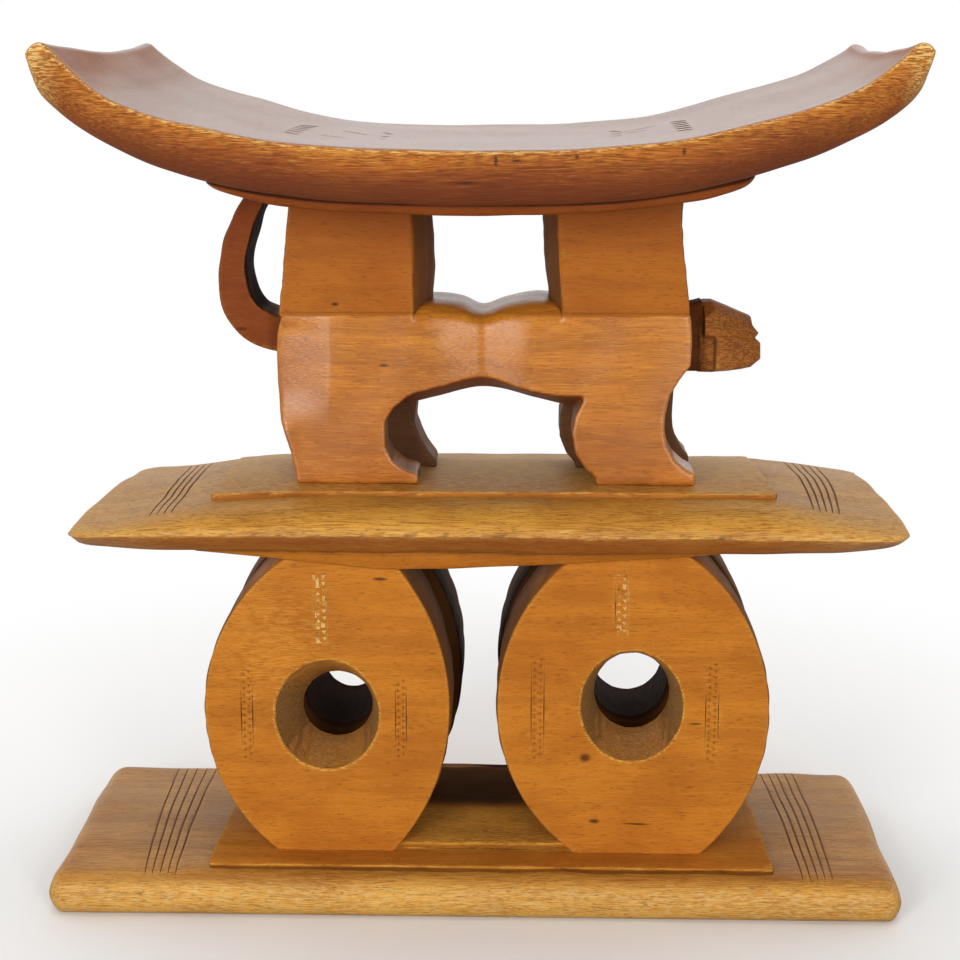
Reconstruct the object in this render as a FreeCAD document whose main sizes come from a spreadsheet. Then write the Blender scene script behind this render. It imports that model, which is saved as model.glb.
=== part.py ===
# A carved two-tier wooden stool. From the floor up: a base board with a raised step, four
# pierced discs in two pairs, a board with thin tips, a four-legged animal that carries two
# pillars on its back, and a seat curved like a saddle. Millimetres, +Z up, the front is -Y.
import FreeCAD, Part
import os
import re
import Sketcher

doc = FreeCAD.newDocument("carved_stool")
sizes = doc.addObject("Spreadsheet::Sheet", "sizes")

values = {
    # base board, its raised step and the low pad between the discs
    "base_length": 438,
    "base_depth": 156,
    "base_thickness": 21.5,
    "base_corner": 14,
    "base_top_round": 9,
    "base_foot_round": 4,
    "base_step_left": 140,
    "base_step_right": 155,
    "base_step_reach": 69,
    "base_step_rise": 3,
    "center_pad_rise": 4.5,
    # discs: the flat foot and the sides' swell beyond it, left pair and right pair
    "disc_face": 52,
    "disc_pair_gap": 16,
    "left_foot_inner": 44,
    "left_foot_outer": 105,
    "left_top_outer": 99,
    "left_inner_swell": 30,
    "left_outer_swell": 40,
    "right_foot_inner": 52,
    "right_foot_outer": 118,
    "right_top_outer": 109,
    "right_inner_swell": 41,
    "right_outer_swell": 39,
    # tapering holes, wide at the outer faces
    "left_hole_middle": 78.5,
    "right_hole_middle": 81.5,
    "hole_rise": 74,
    "hole_outer_radius": 28,
    "hole_inner_radius": 20,
    # middle board with its plates above and below
    "middle_height": 196.5,
    "middle_left": 211,
    "middle_right": 216,
    "middle_reach": 76,
    "middle_thickness": 21,
    "middle_tip": 6,
    "middle_edge": 8,
    "middle_crown": 3,
    "middle_corner": 16,
    "top_plate_left": 134,
    "top_plate_right": 153,
    "top_plate_reach": 47,
    "top_plate_rise": 3,
    "belly_left": 145,
    "belly_right": 147,
    "belly_reach": 57,
    "belly_end": 4,
    "belly_middle": 14,
    # animal: legs, trunk, neck, head and tail
    "animal_width": 68,
    "fore_leg_top_share": 0.8,
    "chest_front_share": 0.4,
    "trunk_chamfer_share": 0.3,
    "haunch_round": 1.25,
    "chest_round": 2.5,
    "leg_gap": 12,
    "leg_rise": 47.5,
    "hind_leg_start": 104,
    "hind_leg_length": 75,
    "fore_leg_start": 48,
    "fore_leg_length": 65,
    "trunk_rise": 42.5,
    "haunch_length": 75,
    "chest_start": 46,
    "chest_length": 64,
    "trunk_sag": 7,
    "waist_lift": 5,
    "waist_dip": 5,
    "waist_place": 2,
    "waist_width": 58,
    "keel_width": 28,
    "neck_length": 8,
    "neck_width": 24,
    "neck_low_share": 0.16,
    "neck_high_share": 0.82,
    "head_length": 34,
    "head_rise": 38,
    "head_width": 40,
    "head_drop": 34,
    "head_inset": 4,
    "cheek_share": 0.4,
    "nose_share": 0.28,
    "head_back_share": 0.35,
    "tail_width": 34,
    "tail_reach": 29,
    "tail_low": 20,
    "tail_rise": 94,
    # pillars
    "left_pillar_outer": 101,
    "left_pillar_inner": 33.5,
    "right_pillar_inner": 42.5,
    "right_pillar_outer": 108,
    "pillar_taper": 5.5,
    "pillar_bulge": 8.5,
    # seat and the plate under it
    "seat_top": 398,
    "seat_thickness": 26,
    "seat_reach": 206,
    "seat_depth": 210,
    "seat_flat_reach": 131,
    "seat_flat_rise": 11,
    "seat_tip_rise": 51,
    "seat_tip_lean": 7,
    "seat_tip_thickness": 11,
    "seat_under_sag": 10,
    "seat_top_bend": 7.6,
    "seat_under_bend": 9,
    "seat_edge_round": 9,
    "under_plate_depth": 160,
    "under_plate_middle": 7,
    "under_plate_end": 2,
}

for row, (name, value) in enumerate(values.items(), start=1):
    sizes.set("A%d" % row, name)
    sizes.set("B%d" % row, str(value))
    sizes.setAlias("B%d" % row, name)
doc.recompute()

stepTop = "(base_thickness+base_step_rise)"
bellyEnds = "(middle_height-belly_end)"
boardTop = "(middle_height+middle_thickness)"
animalFloor = "(middle_height+middle_thickness+top_plate_rise)"
legTop = "(middle_height+middle_thickness+top_plate_rise+leg_rise)"
backLine = "(middle_height+middle_thickness+top_plate_rise+leg_rise+trunk_rise)"
seatUnderEnds = "(seat_top-seat_thickness+seat_under_sag)"

# outlines of the legs, the head and the tail, as shares of their length and height: place
# along X, height, and the sag of the stretch that follows where it is an arc
hindLegShares = [
    (0.13, 0.00, None),
    (0.97, 0.00, None),
    (0.97, 0.15, None),
    (0.87, 0.18, -0.19),
    (1.00, 1.00, None),
    (0.00, 1.00, 0.03),
]
foreLegShares = [
    (0.20, 0.00, None),
    (1.00, 0.00, None),
    (1.00, 0.15, None),
    (0.88, 0.21, -0.07),
    (0.80, 1.00, None),
    (0.15, 1.00, -0.16),
]
headShares = [
    (0.03, 0.03, None),
    (0.76, 0.08, None),
    (0.94, 0.13, None),
    (1.00, 0.24, None),
    (0.97, 0.38, None),
    (0.62, 0.43, None),
    (0.91, 0.47, None),
    (0.94, 0.56, None),
    (0.83, 0.70, None),
    (0.85, 0.76, None),
    (0.28, 1.00, None),
    (0.10, 1.00, None),
    (0.00, 0.82, None),
]
tailShares = [
    (0.20, 0.00, None),
    (0.20, 0.20, -0.22),
    (-0.60, 0.47, -0.15),
    (0.02, 1.00, None),
    (-0.40, 1.00, 0.20),
    (-1.00, 0.33, 0.25),
]

# how near to the whole length or height an edge has to come to count as upright, top or foot
nearlyShare = 0.95


def bound(text):
    """Turn plain size names into references to the sheet's cells."""
    return re.sub(r"[a-z]+(_[a-z]+)+", lambda found: "sizes." + found.group(0), text)


def amount(text):
    return float(sizes.evalExpression(bound(text)))


def holdPoint(sketch, edge, end, across, up):
    """Tie one end of an edge to its two named places."""
    for kind, text in (("DistanceX", across), ("DistanceY", up)):
        place = sketch.addConstraint(Sketcher.Constraint(kind, -1, 1, edge, end, amount(text)))
        sketch.setExpression("Constraints[%d]" % place, bound(text))


def arcMiddle(first, last, sag):
    """The point of an arc that lies furthest from its chord, to the right for a positive sag."""
    along = last - first
    side = FreeCAD.Vector(along.y, -along.x, 0).normalize()
    return (first + last) * 0.5 + side * sag


def drawOutline(body, name, plane, points, offset="0"):
    """A closed outline of lines and arcs, with every corner and every sag tied to the sheet."""
    sketch = body.newObject("Sketcher::SketchObject", name)
    support = [item for item in body.Origin.OriginFeatures if item.Role == plane][0]
    sketch.AttachmentSupport = (support, [""])
    sketch.MapMode = "FlatFace"
    sketch.AttachmentOffset = FreeCAD.Placement(FreeCAD.Vector(0, 0, amount(offset)), FreeCAD.Rotation())
    if offset != "0":
        sketch.setExpression("AttachmentOffset.Base.z", bound(offset))
    corners = [FreeCAD.Vector(amount(across), amount(up), 0) for across, up, sag in points]
    ends = []
    for place, (across, up, sag) in enumerate(points):
        first = corners[place]
        last = corners[(place + 1) % len(points)]
        if sag is None:
            edge = sketch.addGeometry(Part.LineSegment(first, last))
            ends.append((edge, 1, 2))
            continue
        edge = sketch.addGeometry(Part.Arc(first, arcMiddle(first, last, amount(sag)), last))
        near, far = (sketch.getPoint(edge, end).distanceToPoint(first) for end in (1, 2))
        ends.append((edge, 1, 2) if near < far else (edge, 2, 1))
    for place, (edge, start, end) in enumerate(ends):
        nextEdge, nextStart, nextEnd = ends[(place + 1) % len(ends)]
        sketch.addConstraint(Sketcher.Constraint("Coincident", edge, end, nextEdge, nextStart))
        across, up, sag = points[place]
        holdPoint(sketch, edge, start, across, up)
        if sag is not None:
            nextAcross, nextUp, nextSag = points[(place + 1) % len(points)]
            chord = "((%s-(%s))^2+(%s-(%s))^2)" % (nextAcross, across, nextUp, up)
            radius = "abs(%s/(8*(%s))+(%s)/2)" % (chord, sag, sag)
            place = sketch.addConstraint(Sketcher.Constraint("Radius", edge, amount(radius)))
            sketch.setExpression("Constraints[%d]" % place, bound(radius))
    return sketch


def slab(name, plane, points, start, end):
    """A body made by padding an outline from start to end along its plane's normal."""
    body = doc.addObject("PartDesign::Body", name)
    body.Label = name
    sketch = drawOutline(body, name + "_outline", plane, points, start)
    pad = body.newObject("PartDesign::Pad", name + "_pad")
    pad.Profile = sketch
    pad.Length = amount("%s-(%s)" % (end, start))
    pad.setExpression("Length", bound("%s-(%s)" % (end, start)))
    sketch.Visibility = False
    doc.recompute()
    return body


def roundEdges(body, name, radius, chosen):
    """Round the chosen edges of a body's last feature."""
    base = body.Tip
    names = []
    for place, edge in enumerate(base.Shape.Edges, start=1):
        if chosen(edge):
            names.append("Edge%d" % place)
    fillet = body.newObject("PartDesign::Fillet", name)
    fillet.Base = (base, names)
    fillet.Radius = amount(radius)
    fillet.setExpression("Radius", bound(radius))
    doc.recompute()
    return fillet


def combine(kind, name, pieces):
    """A boolean of several solids: MultiCommon keeps what they share, MultiFuse joins them."""
    result = doc.addObject("Part::" + kind, name)
    result.Label = name
    result.Shapes = pieces
    doc.recompute()
    return result


def cutAway(name, base, *tools):
    """The base without the solids that it meets."""
    for place, tool in enumerate(tools, start=1):
        last = place == len(tools)
        result = doc.addObject("Part::Cut", name if last else "%s_trim_%d" % (name, place))
        result.Base = base
        result.Tool = tool
        doc.recompute()
        base = result
    base.Label = name
    return base


def rectangle(left, right, low, high):
    return [(left, low, None), (right, low, None), (right, high, None), (left, high, None)]


def scaled(shares, start, length, floor, rise):
    """An outline from a table of shares, in names of sizes."""
    points = []
    for across, up, sag in shares:
        place = "%s+%s*%s" % (start, across, length)
        height = "%s+%s*%s" % (floor, up, rise)
        points.append((place, height, None if sag is None else "%s*%s" % (sag, length)))
    return points


def upright(edge):
    """Whether an edge runs along Z."""
    return edge.BoundBox.ZLength > nearlyShare * edge.Length


def makeBase():
    board = slab("base_board", "XY_Plane",
                 rectangle("-base_length/2", "base_length/2", "-base_depth/2", "base_depth/2"),
                 "0", "base_thickness")
    roundEdges(board, "base_corners", "base_corner", upright)
    thickness = amount("base_thickness")
    roundEdges(board, "base_top_edge", "base_top_round",
               lambda edge: edge.BoundBox.ZMin > nearlyShare * thickness)
    roundEdges(board, "base_foot_edge", "base_foot_round",
               lambda edge: edge.BoundBox.ZMax < (1 - nearlyShare) * thickness)
    step = slab("base_step_plate", "XY_Plane",
                rectangle("-base_step_left", "base_step_right", "-base_step_reach", "base_step_reach"),
                "base_thickness", stepTop)
    return [board, step]


def makeBelly():
    """The plate under the middle board, thin at its ends and deep in its middle."""
    outline = [
        ("-belly_left", bellyEnds, "belly_middle-belly_end"),
        ("belly_right", bellyEnds, None),
        ("belly_right", "middle_height", None),
        ("-belly_left", "middle_height", None),
    ]
    return slab("middle_under_plate", "XZ_Plane", outline, "-belly_reach", "belly_reach")


def discOutline(left, right, leftTop, rightTop, leftSwell, rightSwell):
    """An oval with a flat foot, and a top that runs up into the plate above it."""
    return [
        (left, stepTop, None),
        (right, stepTop, rightSwell),
        (rightTop, bellyEnds, None),
        (leftTop, bellyEnds, leftSwell),
    ]


def makeDiscs(belly):
    """Two discs one behind the other on each side, pierced by holes that widen outwards."""
    outlines = {
        "left": discOutline("-left_foot_outer", "-left_foot_inner", "-left_top_outer",
                            "-left_foot_inner", "left_outer_swell", "left_inner_swell"),
        "right": discOutline("right_foot_inner", "right_foot_outer", "right_foot_inner",
                             "right_top_outer", "right_inner_swell", "right_outer_swell"),
    }
    middles = {"left": "-left_hole_middle", "right": "right_hole_middle"}
    rows = {
        "front": ("disc_pair_gap/2", "disc_face", "-disc_face", 1),
        "rear": ("-disc_face", "-disc_pair_gap/2", "disc_face", -1),
    }
    discs = []
    for row, (start, end, mouth, way) in rows.items():
        for side, outline in outlines.items():
            name = "disc_%s_%s" % (row, side)
            blank = slab(name + "_blank", "XZ_Plane", outline, start, end)
            hole = doc.addObject("Part::Cone", name + "_hole")
            hole.setExpression("Radius1", bound("hole_outer_radius"))
            hole.setExpression("Radius2", bound("hole_inner_radius"))
            hole.setExpression("Height", bound("%s-(%s)" % (end, start)))
            turn = FreeCAD.Rotation(FreeCAD.Vector(1, 0, 0), -90 * way)
            hole.Placement = FreeCAD.Placement(FreeCAD.Vector(0, 0, 0), turn)
            hole.setExpression("Placement.Base.x", bound(middles[side]))
            hole.setExpression("Placement.Base.y", bound(mouth))
            hole.setExpression("Placement.Base.z", bound(stepTop + "+hole_rise"))
            discs.append(cutAway(name, blank, hole, belly))
    return discs


def makeCenterPad(discs):
    """The low pad that fills the floor between the left and the right discs."""
    blank = slab("base_center_pad_blank", "XY_Plane",
                 rectangle("-left_foot_inner", "right_foot_inner", "-disc_face", "disc_face"),
                 stepTop, stepTop + "+center_pad_rise")
    return cutAway("base_center_pad", blank, *discs)


def makeMiddleBoard():
    """A board that thins to its tips and rounds down to its front and rear edges."""
    lengthwise = slab("middle_board_length", "XZ_Plane", [
        ("-middle_left", "middle_height", None),
        ("middle_right", "middle_height", None),
        ("middle_right", "middle_height+middle_tip", "middle_crown"),
        ("top_plate_right", boardTop, None),
        ("-top_plate_left", boardTop, "middle_crown"),
        ("-middle_left", "middle_height+middle_tip", None),
    ], "-middle_reach", "middle_reach")
    crosswise = slab("middle_board_width", "YZ_Plane", [
        ("-middle_reach", "middle_height", None),
        ("middle_reach", "middle_height", None),
        ("middle_reach", "middle_height+middle_edge", "middle_crown"),
        ("top_plate_reach", boardTop, None),
        ("-top_plate_reach", boardTop, "middle_crown"),
        ("-middle_reach", "middle_height+middle_edge", None),
    ], "-middle_left", "middle_right")
    plan = slab("middle_board_plan", "XY_Plane",
                rectangle("-middle_left", "middle_right", "-middle_reach", "middle_reach"),
                "middle_height", boardTop)
    roundEdges(plan, "middle_board_corners", "middle_corner", upright)
    return combine("MultiCommon", "middle_board", [lengthwise, crosswise, plan])


def makeTopPlate():
    return slab("middle_top_plate", "XY_Plane",
                rectangle("-top_plate_left", "top_plate_right", "-top_plate_reach", "top_plate_reach"),
                boardTop, animalFloor)


def makeLegs():
    """Broad legs with a toe that points right, a near pair and a far pair."""
    outlines = {
        "hind": scaled(hindLegShares, "-hind_leg_start", "hind_leg_length", animalFloor, "leg_rise"),
        "fore": scaled(foreLegShares, "fore_leg_start", "fore_leg_length", animalFloor, "leg_rise"),
    }
    spans = {
        "near": ("leg_gap/2", "animal_width/2"),
        "far": ("-animal_width/2", "-leg_gap/2"),
    }
    legs = []
    for end, outline in outlines.items():
        for side, (start, stop) in spans.items():
            legs.append(slab("%s_leg_%s" % (end, side), "XZ_Plane", outline, start, stop))
    return legs


def makeBody():
    """Haunches and chest joined by a trunk that is pinched at the waist."""
    haunchEnd = "-hind_leg_start+haunch_length"
    haunch = slab("haunch_block", "XZ_Plane", [
        ("-hind_leg_start", legTop, None),
        (haunchEnd, legTop, None),
        (haunchEnd, backLine, None),
        ("-left_pillar_outer", backLine, "haunch_round"),
    ], "-animal_width/2", "animal_width/2")
    chestEnd = "chest_start+chest_length"
    chest = slab("chest_block", "XZ_Plane", [
        ("chest_start", legTop, None),
        ("fore_leg_start+fore_leg_top_share*fore_leg_length", legTop, "chest_round"),
        (chestEnd, legTop + "+chest_front_share*trunk_rise", None),
        ("right_pillar_outer", backLine, None),
        ("chest_start", backLine, None),
    ], "-animal_width/2", "animal_width/2")
    side = slab("trunk_side", "XZ_Plane", [
        (haunchEnd, legTop, None),
        (haunchEnd + "+trunk_sag", legTop + "-trunk_sag", None),
        ("waist_place", legTop + "-trunk_sag+waist_lift", None),
        ("chest_start-trunk_sag", legTop + "-trunk_sag", None),
        ("chest_start", legTop, None),
        ("chest_start", backLine, None),
        ("waist_place", backLine + "-waist_dip", None),
        (haunchEnd, backLine, None),
    ], "-animal_width/2", "animal_width/2")
    plan = slab("trunk_plan", "XY_Plane", [
        (haunchEnd, "-animal_width/2", None),
        ("waist_place", "-waist_width/2", None),
        ("chest_start", "-animal_width/2", None),
        ("chest_start", "animal_width/2", None),
        ("waist_place", "waist_width/2", None),
        (haunchEnd, "animal_width/2", None),
    ], legTop + "-trunk_sag", backLine)
    section = slab("trunk_section", "YZ_Plane", [
        ("-keel_width/2", legTop + "-trunk_sag", None),
        ("keel_width/2", legTop + "-trunk_sag", None),
        ("animal_width/2", legTop + "+trunk_chamfer_share*trunk_rise", None),
        ("animal_width/2", backLine, None),
        ("-animal_width/2", backLine, None),
        ("-animal_width/2", legTop + "+trunk_chamfer_share*trunk_rise", None),
    ], haunchEnd, "chest_start")
    trunk = combine("MultiCommon", "trunk", [side, plan, section])
    return combine("MultiFuse", "animal_body", [haunch, trunk, chest])


def makeHead(body):
    chestEnd = "chest_start+chest_length"
    headStart = "(chest_start+chest_length+neck_length-head_inset)"
    headFloor = "(%s-head_drop)" % backLine
    neckBlank = slab("animal_neck_blank", "XZ_Plane",
                     rectangle("right_pillar_outer-neck_length", chestEnd + "+neck_length",
                               headFloor + "+neck_low_share*head_rise",
                               headFloor + "+neck_high_share*head_rise"),
                     "-neck_width/2", "neck_width/2")
    side = slab("head_side", "XZ_Plane",
                scaled(headShares, headStart, "head_length", headFloor, "head_rise"),
                "-head_width/2", "head_width/2")
    plan = slab("head_plan", "XY_Plane", [
        (headStart, "-head_back_share*head_width", None),
        (headStart + "+cheek_share*head_length", "-head_width/2", None),
        (headStart + "+head_length", "-nose_share*head_width", None),
        (headStart + "+head_length", "nose_share*head_width", None),
        (headStart + "+cheek_share*head_length", "head_width/2", None),
        (headStart, "head_back_share*head_width", None),
    ], headFloor, headFloor + "+head_rise")
    head = combine("MultiCommon", "animal_head", [side, plan])
    return [cutAway("animal_neck", neckBlank, body, head), head]


def makeTail(body, underPlate, seat):
    """A flat band that leaves the haunch, curls outwards and runs up to the seat."""
    outline = scaled(tailShares, "-hind_leg_start", "tail_reach", "(%s+tail_low)" % legTop, "tail_rise")
    blank = slab("animal_tail_blank", "XZ_Plane", outline, "-tail_width/2", "tail_width/2")
    return cutAway("animal_tail", blank, body, underPlate, seat)


def makePillar(name, outerFoot, innerSide, bulge, taper, underPlate, seat):
    """A square pillar whose inner side swells, with its top cut to the plate under the seat."""
    top = seatUnderEnds
    side = slab(name + "_side", "XZ_Plane", [
        (outerFoot, backLine, None),
        (innerSide + bulge, backLine, None),
        (innerSide + bulge, top, None),
        (outerFoot + taper, top, None),
    ], "-animal_width/2", "animal_width/2")
    sag = "pillar_bulge" if bulge[0] == "+" else "-pillar_bulge"
    plan = slab(name + "_plan", "XY_Plane", [
        (outerFoot, "-animal_width/2", None),
        (innerSide, "-animal_width/2", sag),
        (innerSide, "animal_width/2", None),
        (outerFoot, "animal_width/2", None),
    ], backLine, top)
    blank = combine("MultiCommon", name + "_blank", [side, plan])
    return cutAway(name, blank, underPlate, seat)


def makeSeat():
    """A saddle: a gently sagging middle and ends that bend up and thin towards their tips."""
    flatTop = "seat_top+seat_flat_rise"
    board = slab("seat_board", "XZ_Plane", [
        ("-seat_flat_reach", seatUnderEnds, "seat_under_sag"),
        ("seat_flat_reach", seatUnderEnds, "seat_under_bend"),
        ("seat_reach+seat_tip_lean", "seat_top+seat_tip_rise-seat_tip_thickness", None),
        ("seat_reach", "seat_top+seat_tip_rise", "-seat_top_bend"),
        ("seat_flat_reach", flatTop, "-seat_flat_rise"),
        ("-seat_flat_reach", flatTop, "-seat_top_bend"),
        ("-seat_reach", "seat_top+seat_tip_rise", None),
        ("-seat_reach-seat_tip_lean", "seat_top+seat_tip_rise-seat_tip_thickness", "seat_under_bend"),
    ], "-seat_depth/2", "seat_depth/2")
    side = amount("seat_depth/2")
    gauge = FreeCAD.Vector(0, 0, amount("seat_tip_thickness/4"))

    def underEdge(edge):
        """Whether an edge along the front or rear has the board above it and nothing below."""
        middle = edge.valueAt((edge.FirstParameter + edge.LastParameter) / 2)
        if abs(abs(middle.y) - side) > gauge.z:
            return False
        inner = FreeCAD.Vector(middle.x, 0, middle.z)
        above, below = (board.Shape.isInside(inner + step, gauge.z / 1000, True) for step in (gauge, -gauge))
        return above and not below

    roundEdges(board, "seat_under_edges", "seat_edge_round", underEdge)
    return board


def makeUnderPlate():
    """The curved plate that follows the underside of the seat."""
    return slab("seat_under_plate", "XZ_Plane", [
        ("-seat_flat_reach", seatUnderEnds + "-under_plate_end",
         "seat_under_sag+under_plate_middle-under_plate_end"),
        ("seat_flat_reach", seatUnderEnds + "-under_plate_end", None),
        ("seat_flat_reach", seatUnderEnds, "-seat_under_sag"),
        ("-seat_flat_reach", seatUnderEnds, None),
    ], "-under_plate_depth/2", "under_plate_depth/2")


parts = makeBase()
belly = makeBelly()
discs = makeDiscs(belly)
parts.append(belly)
parts.extend(discs)
parts.append(makeCenterPad(discs))
parts.append(makeMiddleBoard())
parts.append(makeTopPlate())
parts.extend(makeLegs())
body = makeBody()
parts.append(body)
parts.extend(makeHead(body))
seat = makeSeat()
underPlate = makeUnderPlate()
parts.append(makePillar("pillar_left", "-left_pillar_outer", "-left_pillar_inner", "+pillar_bulge",
                        "+pillar_taper", underPlate, seat))
parts.append(makePillar("pillar_right", "right_pillar_outer", "right_pillar_inner", "-pillar_bulge",
                        "-pillar_taper", underPlate, seat))
parts.append(makeTail(body, underPlate, seat))
parts.append(underPlate)
parts.append(seat)
doc.recompute()

for item in doc.Objects:
    if "Invalid" in item.State or "Error" in item.State:
        raise RuntimeError("%s didn't build: %s" % (item.Label, item.State))
for part in parts:
    if part.Shape.isNull() or not part.Shape.isValid() or len(part.Shape.Solids) != 1:
        raise RuntimeError("%s isn't one valid solid" % part.Label)

os.makedirs("parts", exist_ok=True)
for part in parts:
    part.Shape.exportStep(os.path.join("parts", part.Label + ".step"))
    box = part.Shape.BoundBox
    print("%-20s %8.1f cm3  X %7.1f %7.1f  Y %6.1f %6.1f  Z %6.1f %6.1f" % (
        part.Label, part.Shape.Volume / 1000, box.XMin, box.XMax, box.YMin, box.YMax, box.ZMin, box.ZMax))
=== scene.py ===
import math

import bmesh
import bpy
import numpy as np
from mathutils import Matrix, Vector


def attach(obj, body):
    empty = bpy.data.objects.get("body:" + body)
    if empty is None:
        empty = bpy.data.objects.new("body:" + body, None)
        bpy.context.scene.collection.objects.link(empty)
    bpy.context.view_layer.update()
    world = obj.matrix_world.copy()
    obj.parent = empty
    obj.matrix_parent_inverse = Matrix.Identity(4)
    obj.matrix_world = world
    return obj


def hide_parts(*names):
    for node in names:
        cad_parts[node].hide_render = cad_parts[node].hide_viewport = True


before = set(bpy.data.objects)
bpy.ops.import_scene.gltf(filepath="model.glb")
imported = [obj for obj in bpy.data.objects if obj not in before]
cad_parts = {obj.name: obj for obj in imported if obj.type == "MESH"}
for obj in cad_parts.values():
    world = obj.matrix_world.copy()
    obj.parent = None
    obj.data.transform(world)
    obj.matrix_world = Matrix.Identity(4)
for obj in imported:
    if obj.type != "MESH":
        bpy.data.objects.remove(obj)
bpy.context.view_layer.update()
scene = bpy.context.scene
mm = 0.001
print("frame loaded,", len(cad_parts), "nodes")


# small tools for colours, nodes, curves and meshes
def linear(code):
    # "#rrggbb" as the eye reads it, in the linear numbers that a shader takes
    parts = [int(code[i:i + 2], 16) / 255 for i in (1, 3, 5)]
    return tuple(p / 12.92 if p <= 0.04045 else ((p + 0.055) / 1.055) ** 2.4 for p in parts) + (1.0,)


def put(tree, kind, links=None, **settings):
    # adds a node, sets it up and fills its inputs with values, sockets or nodes' first outputs
    node = tree.nodes.new(kind)
    for name, value in settings.items():
        setattr(node, name, value)
    for socket, source in (links or {}).items():
        if isinstance(source, bpy.types.Node):
            source = source.outputs[0]
        if isinstance(source, bpy.types.NodeSocket):
            tree.links.new(source, node.inputs[socket])
        else:
            node.inputs[socket].default_value = source
    return node


def smoothLine(points, steps=10):
    # a curve that passes through every given point
    p = np.array(points, float)
    p = np.vstack([2 * p[0] - p[1], p, 2 * p[-1] - p[-2]])
    t = np.linspace(0, 1, steps, endpoint=False)[:, None]
    spans = []
    for a, b, c, d in zip(p[:-3], p[1:-2], p[2:-1], p[3:]):
        spans.append(0.5 * (2 * b + (c - a) * t + (2 * a - 5 * b + 4 * c - d) * t ** 2
                            + (3 * b - a - 3 * c + d) * t ** 3))
    return np.vstack(spans + [p[-2:-1]])


def evenly(line, shares):
    # the points at these shares of a line's length
    run = np.concatenate([[0], np.cumsum(np.linalg.norm(np.diff(line, axis=0), axis=1))])
    at = np.asarray(shares) * run[-1]
    return np.stack([np.interp(at, run, line[:, i]) for i in range(line.shape[1])], 1)


def heights(points):
    # a height for any place along X, from a few given points
    line = smoothLine(points)
    return lambda x: np.interp(x, line[:, 0], line[:, 1])


def ease(value, low, high):
    t = np.clip((value - low) / (high - low), 0, 1)
    return t * t * (3 - 2 * t)


def waves(places, size, seed, count=9):
    # soft unevenness about "size" mm long, as a hand-held adze leaves it
    rng = np.random.default_rng(seed)
    total = 0
    for _ in range(count):
        way = rng.normal(size=3)
        way *= 2 * math.pi / (size * rng.uniform(0.7, 1.7)) / np.linalg.norm(way)
        total = total + np.sin(places @ way + rng.uniform(0, 6.28))
    return total / 3


def makePiece(name, places, faces):
    mesh = bpy.data.meshes.new(name)
    mesh.from_pydata((np.asarray(places) * mm).tolist(), [], faces)
    piece = bpy.data.objects.new(name, mesh)
    scene.collection.objects.link(piece)
    closeUp(piece)
    return piece


def closeUp(piece):
    # merges doubled points and turns every face outwards
    bm = bmesh.new()
    bm.from_mesh(piece.data)
    bmesh.ops.remove_doubles(bm, verts=bm.verts, dist=0.00002)
    bmesh.ops.recalc_face_normals(bm, faces=bm.faces)
    bm.to_mesh(piece.data)
    bm.free()


def placesOf(piece):
    places = np.empty(len(piece.data.vertices) * 3, np.float32)
    piece.data.vertices.foreach_get("co", places)
    return places.reshape(-1, 3).astype(float) / mm


def normalsOf(piece):
    normals = np.empty(len(piece.data.vertices) * 3, np.float32)
    piece.data.vertices.foreach_get("normal", normals)
    return normals.reshape(-1, 3).astype(float)


def movePlaces(piece, places):
    piece.data.vertices.foreach_set("co", (places * mm).astype(np.float32).ravel())
    piece.data.update()


def bake(piece):
    # the modifiers' result becomes the piece's own plain mesh
    bpy.context.view_layer.update()
    done = bpy.data.meshes.new_from_object(piece.evaluated_get(bpy.context.evaluated_depsgraph_get()))
    piece.modifiers.clear()
    piece.data = done


def loft(name, rings, round=False):
    # skins a row of rings; the ends are closed by their last rings, or joined when it goes all round
    rings = np.asarray(rings)
    count, size = rings.shape[:2]
    faces = []
    for i in range(count if round else count - 1):
        a, b = i * size, (i + 1) % count * size
        faces += [(a + j, a + (j + 1) % size, b + (j + 1) % size, b + j) for j in range(size)]
    if not round:
        for start in (0, (count - 1) * size):
            faces.append(tuple(range(start, start + size)))
    return makePiece(name, rings.reshape(-1, 3), faces)


# the wood: what its grain measures, and where its knots are
woodLook = {
    "streak": (17, 0.6, 0.6),     # mm: fibres, drawn a little coarser than real ones
    "pore": (5, 0.5, 0.5),        # mm: short dark vessel lines
    "band": (110, 9, 8),          # mm: slow bands of growth
    "cloud": (56, 46, 40),        # mm: uneven stain and wax
    "fleck": (6, 0.6, 0.6),       # mm: worn and bruised specks, which also spread painted light on tops
    "sway": 1.4,                  # mm that the fibres wander
}
# dark knots and small cracks: place, then reach along X, Y and Z, in mm
knots = (
    ((57, -52, 78.4), (3.2, 4, 2.6)), ((62.2, -52, 42.6), (3, 4, 1.6)), ((114.2, -52, 97.3), (4, 3, 0.7)),
    ((85, -52, 41.5), (8, 3, 0.7)), ((-49.7, -52, 174.7), (4.2, 3, 1.1)),
    ((-48, -34, 283.7), (3.2, 5, 0.9)),
    ((-124.2, -17, 299.8), (4.5, 3, 1.3)), ((-72.8, -34, 314.7), (2, 4, 1.2)),
    ((48.2, -103, 393.9), (1.3, 3, 1.3)),
    ((-3, -98, 382.8), (6, 8, 1.1)), ((10.6, -104, 393), (1, 3, 3)), ((19.9, -104, 392.9), (2.5, 3, 0.8)),
    ((97.6, -104, 397.6), (1, 3, 2.2)), ((-150, -72, 14), (2, 4, 1)), ((38, -76, 15), (2.2, 4, 1.4)),
)


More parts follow.
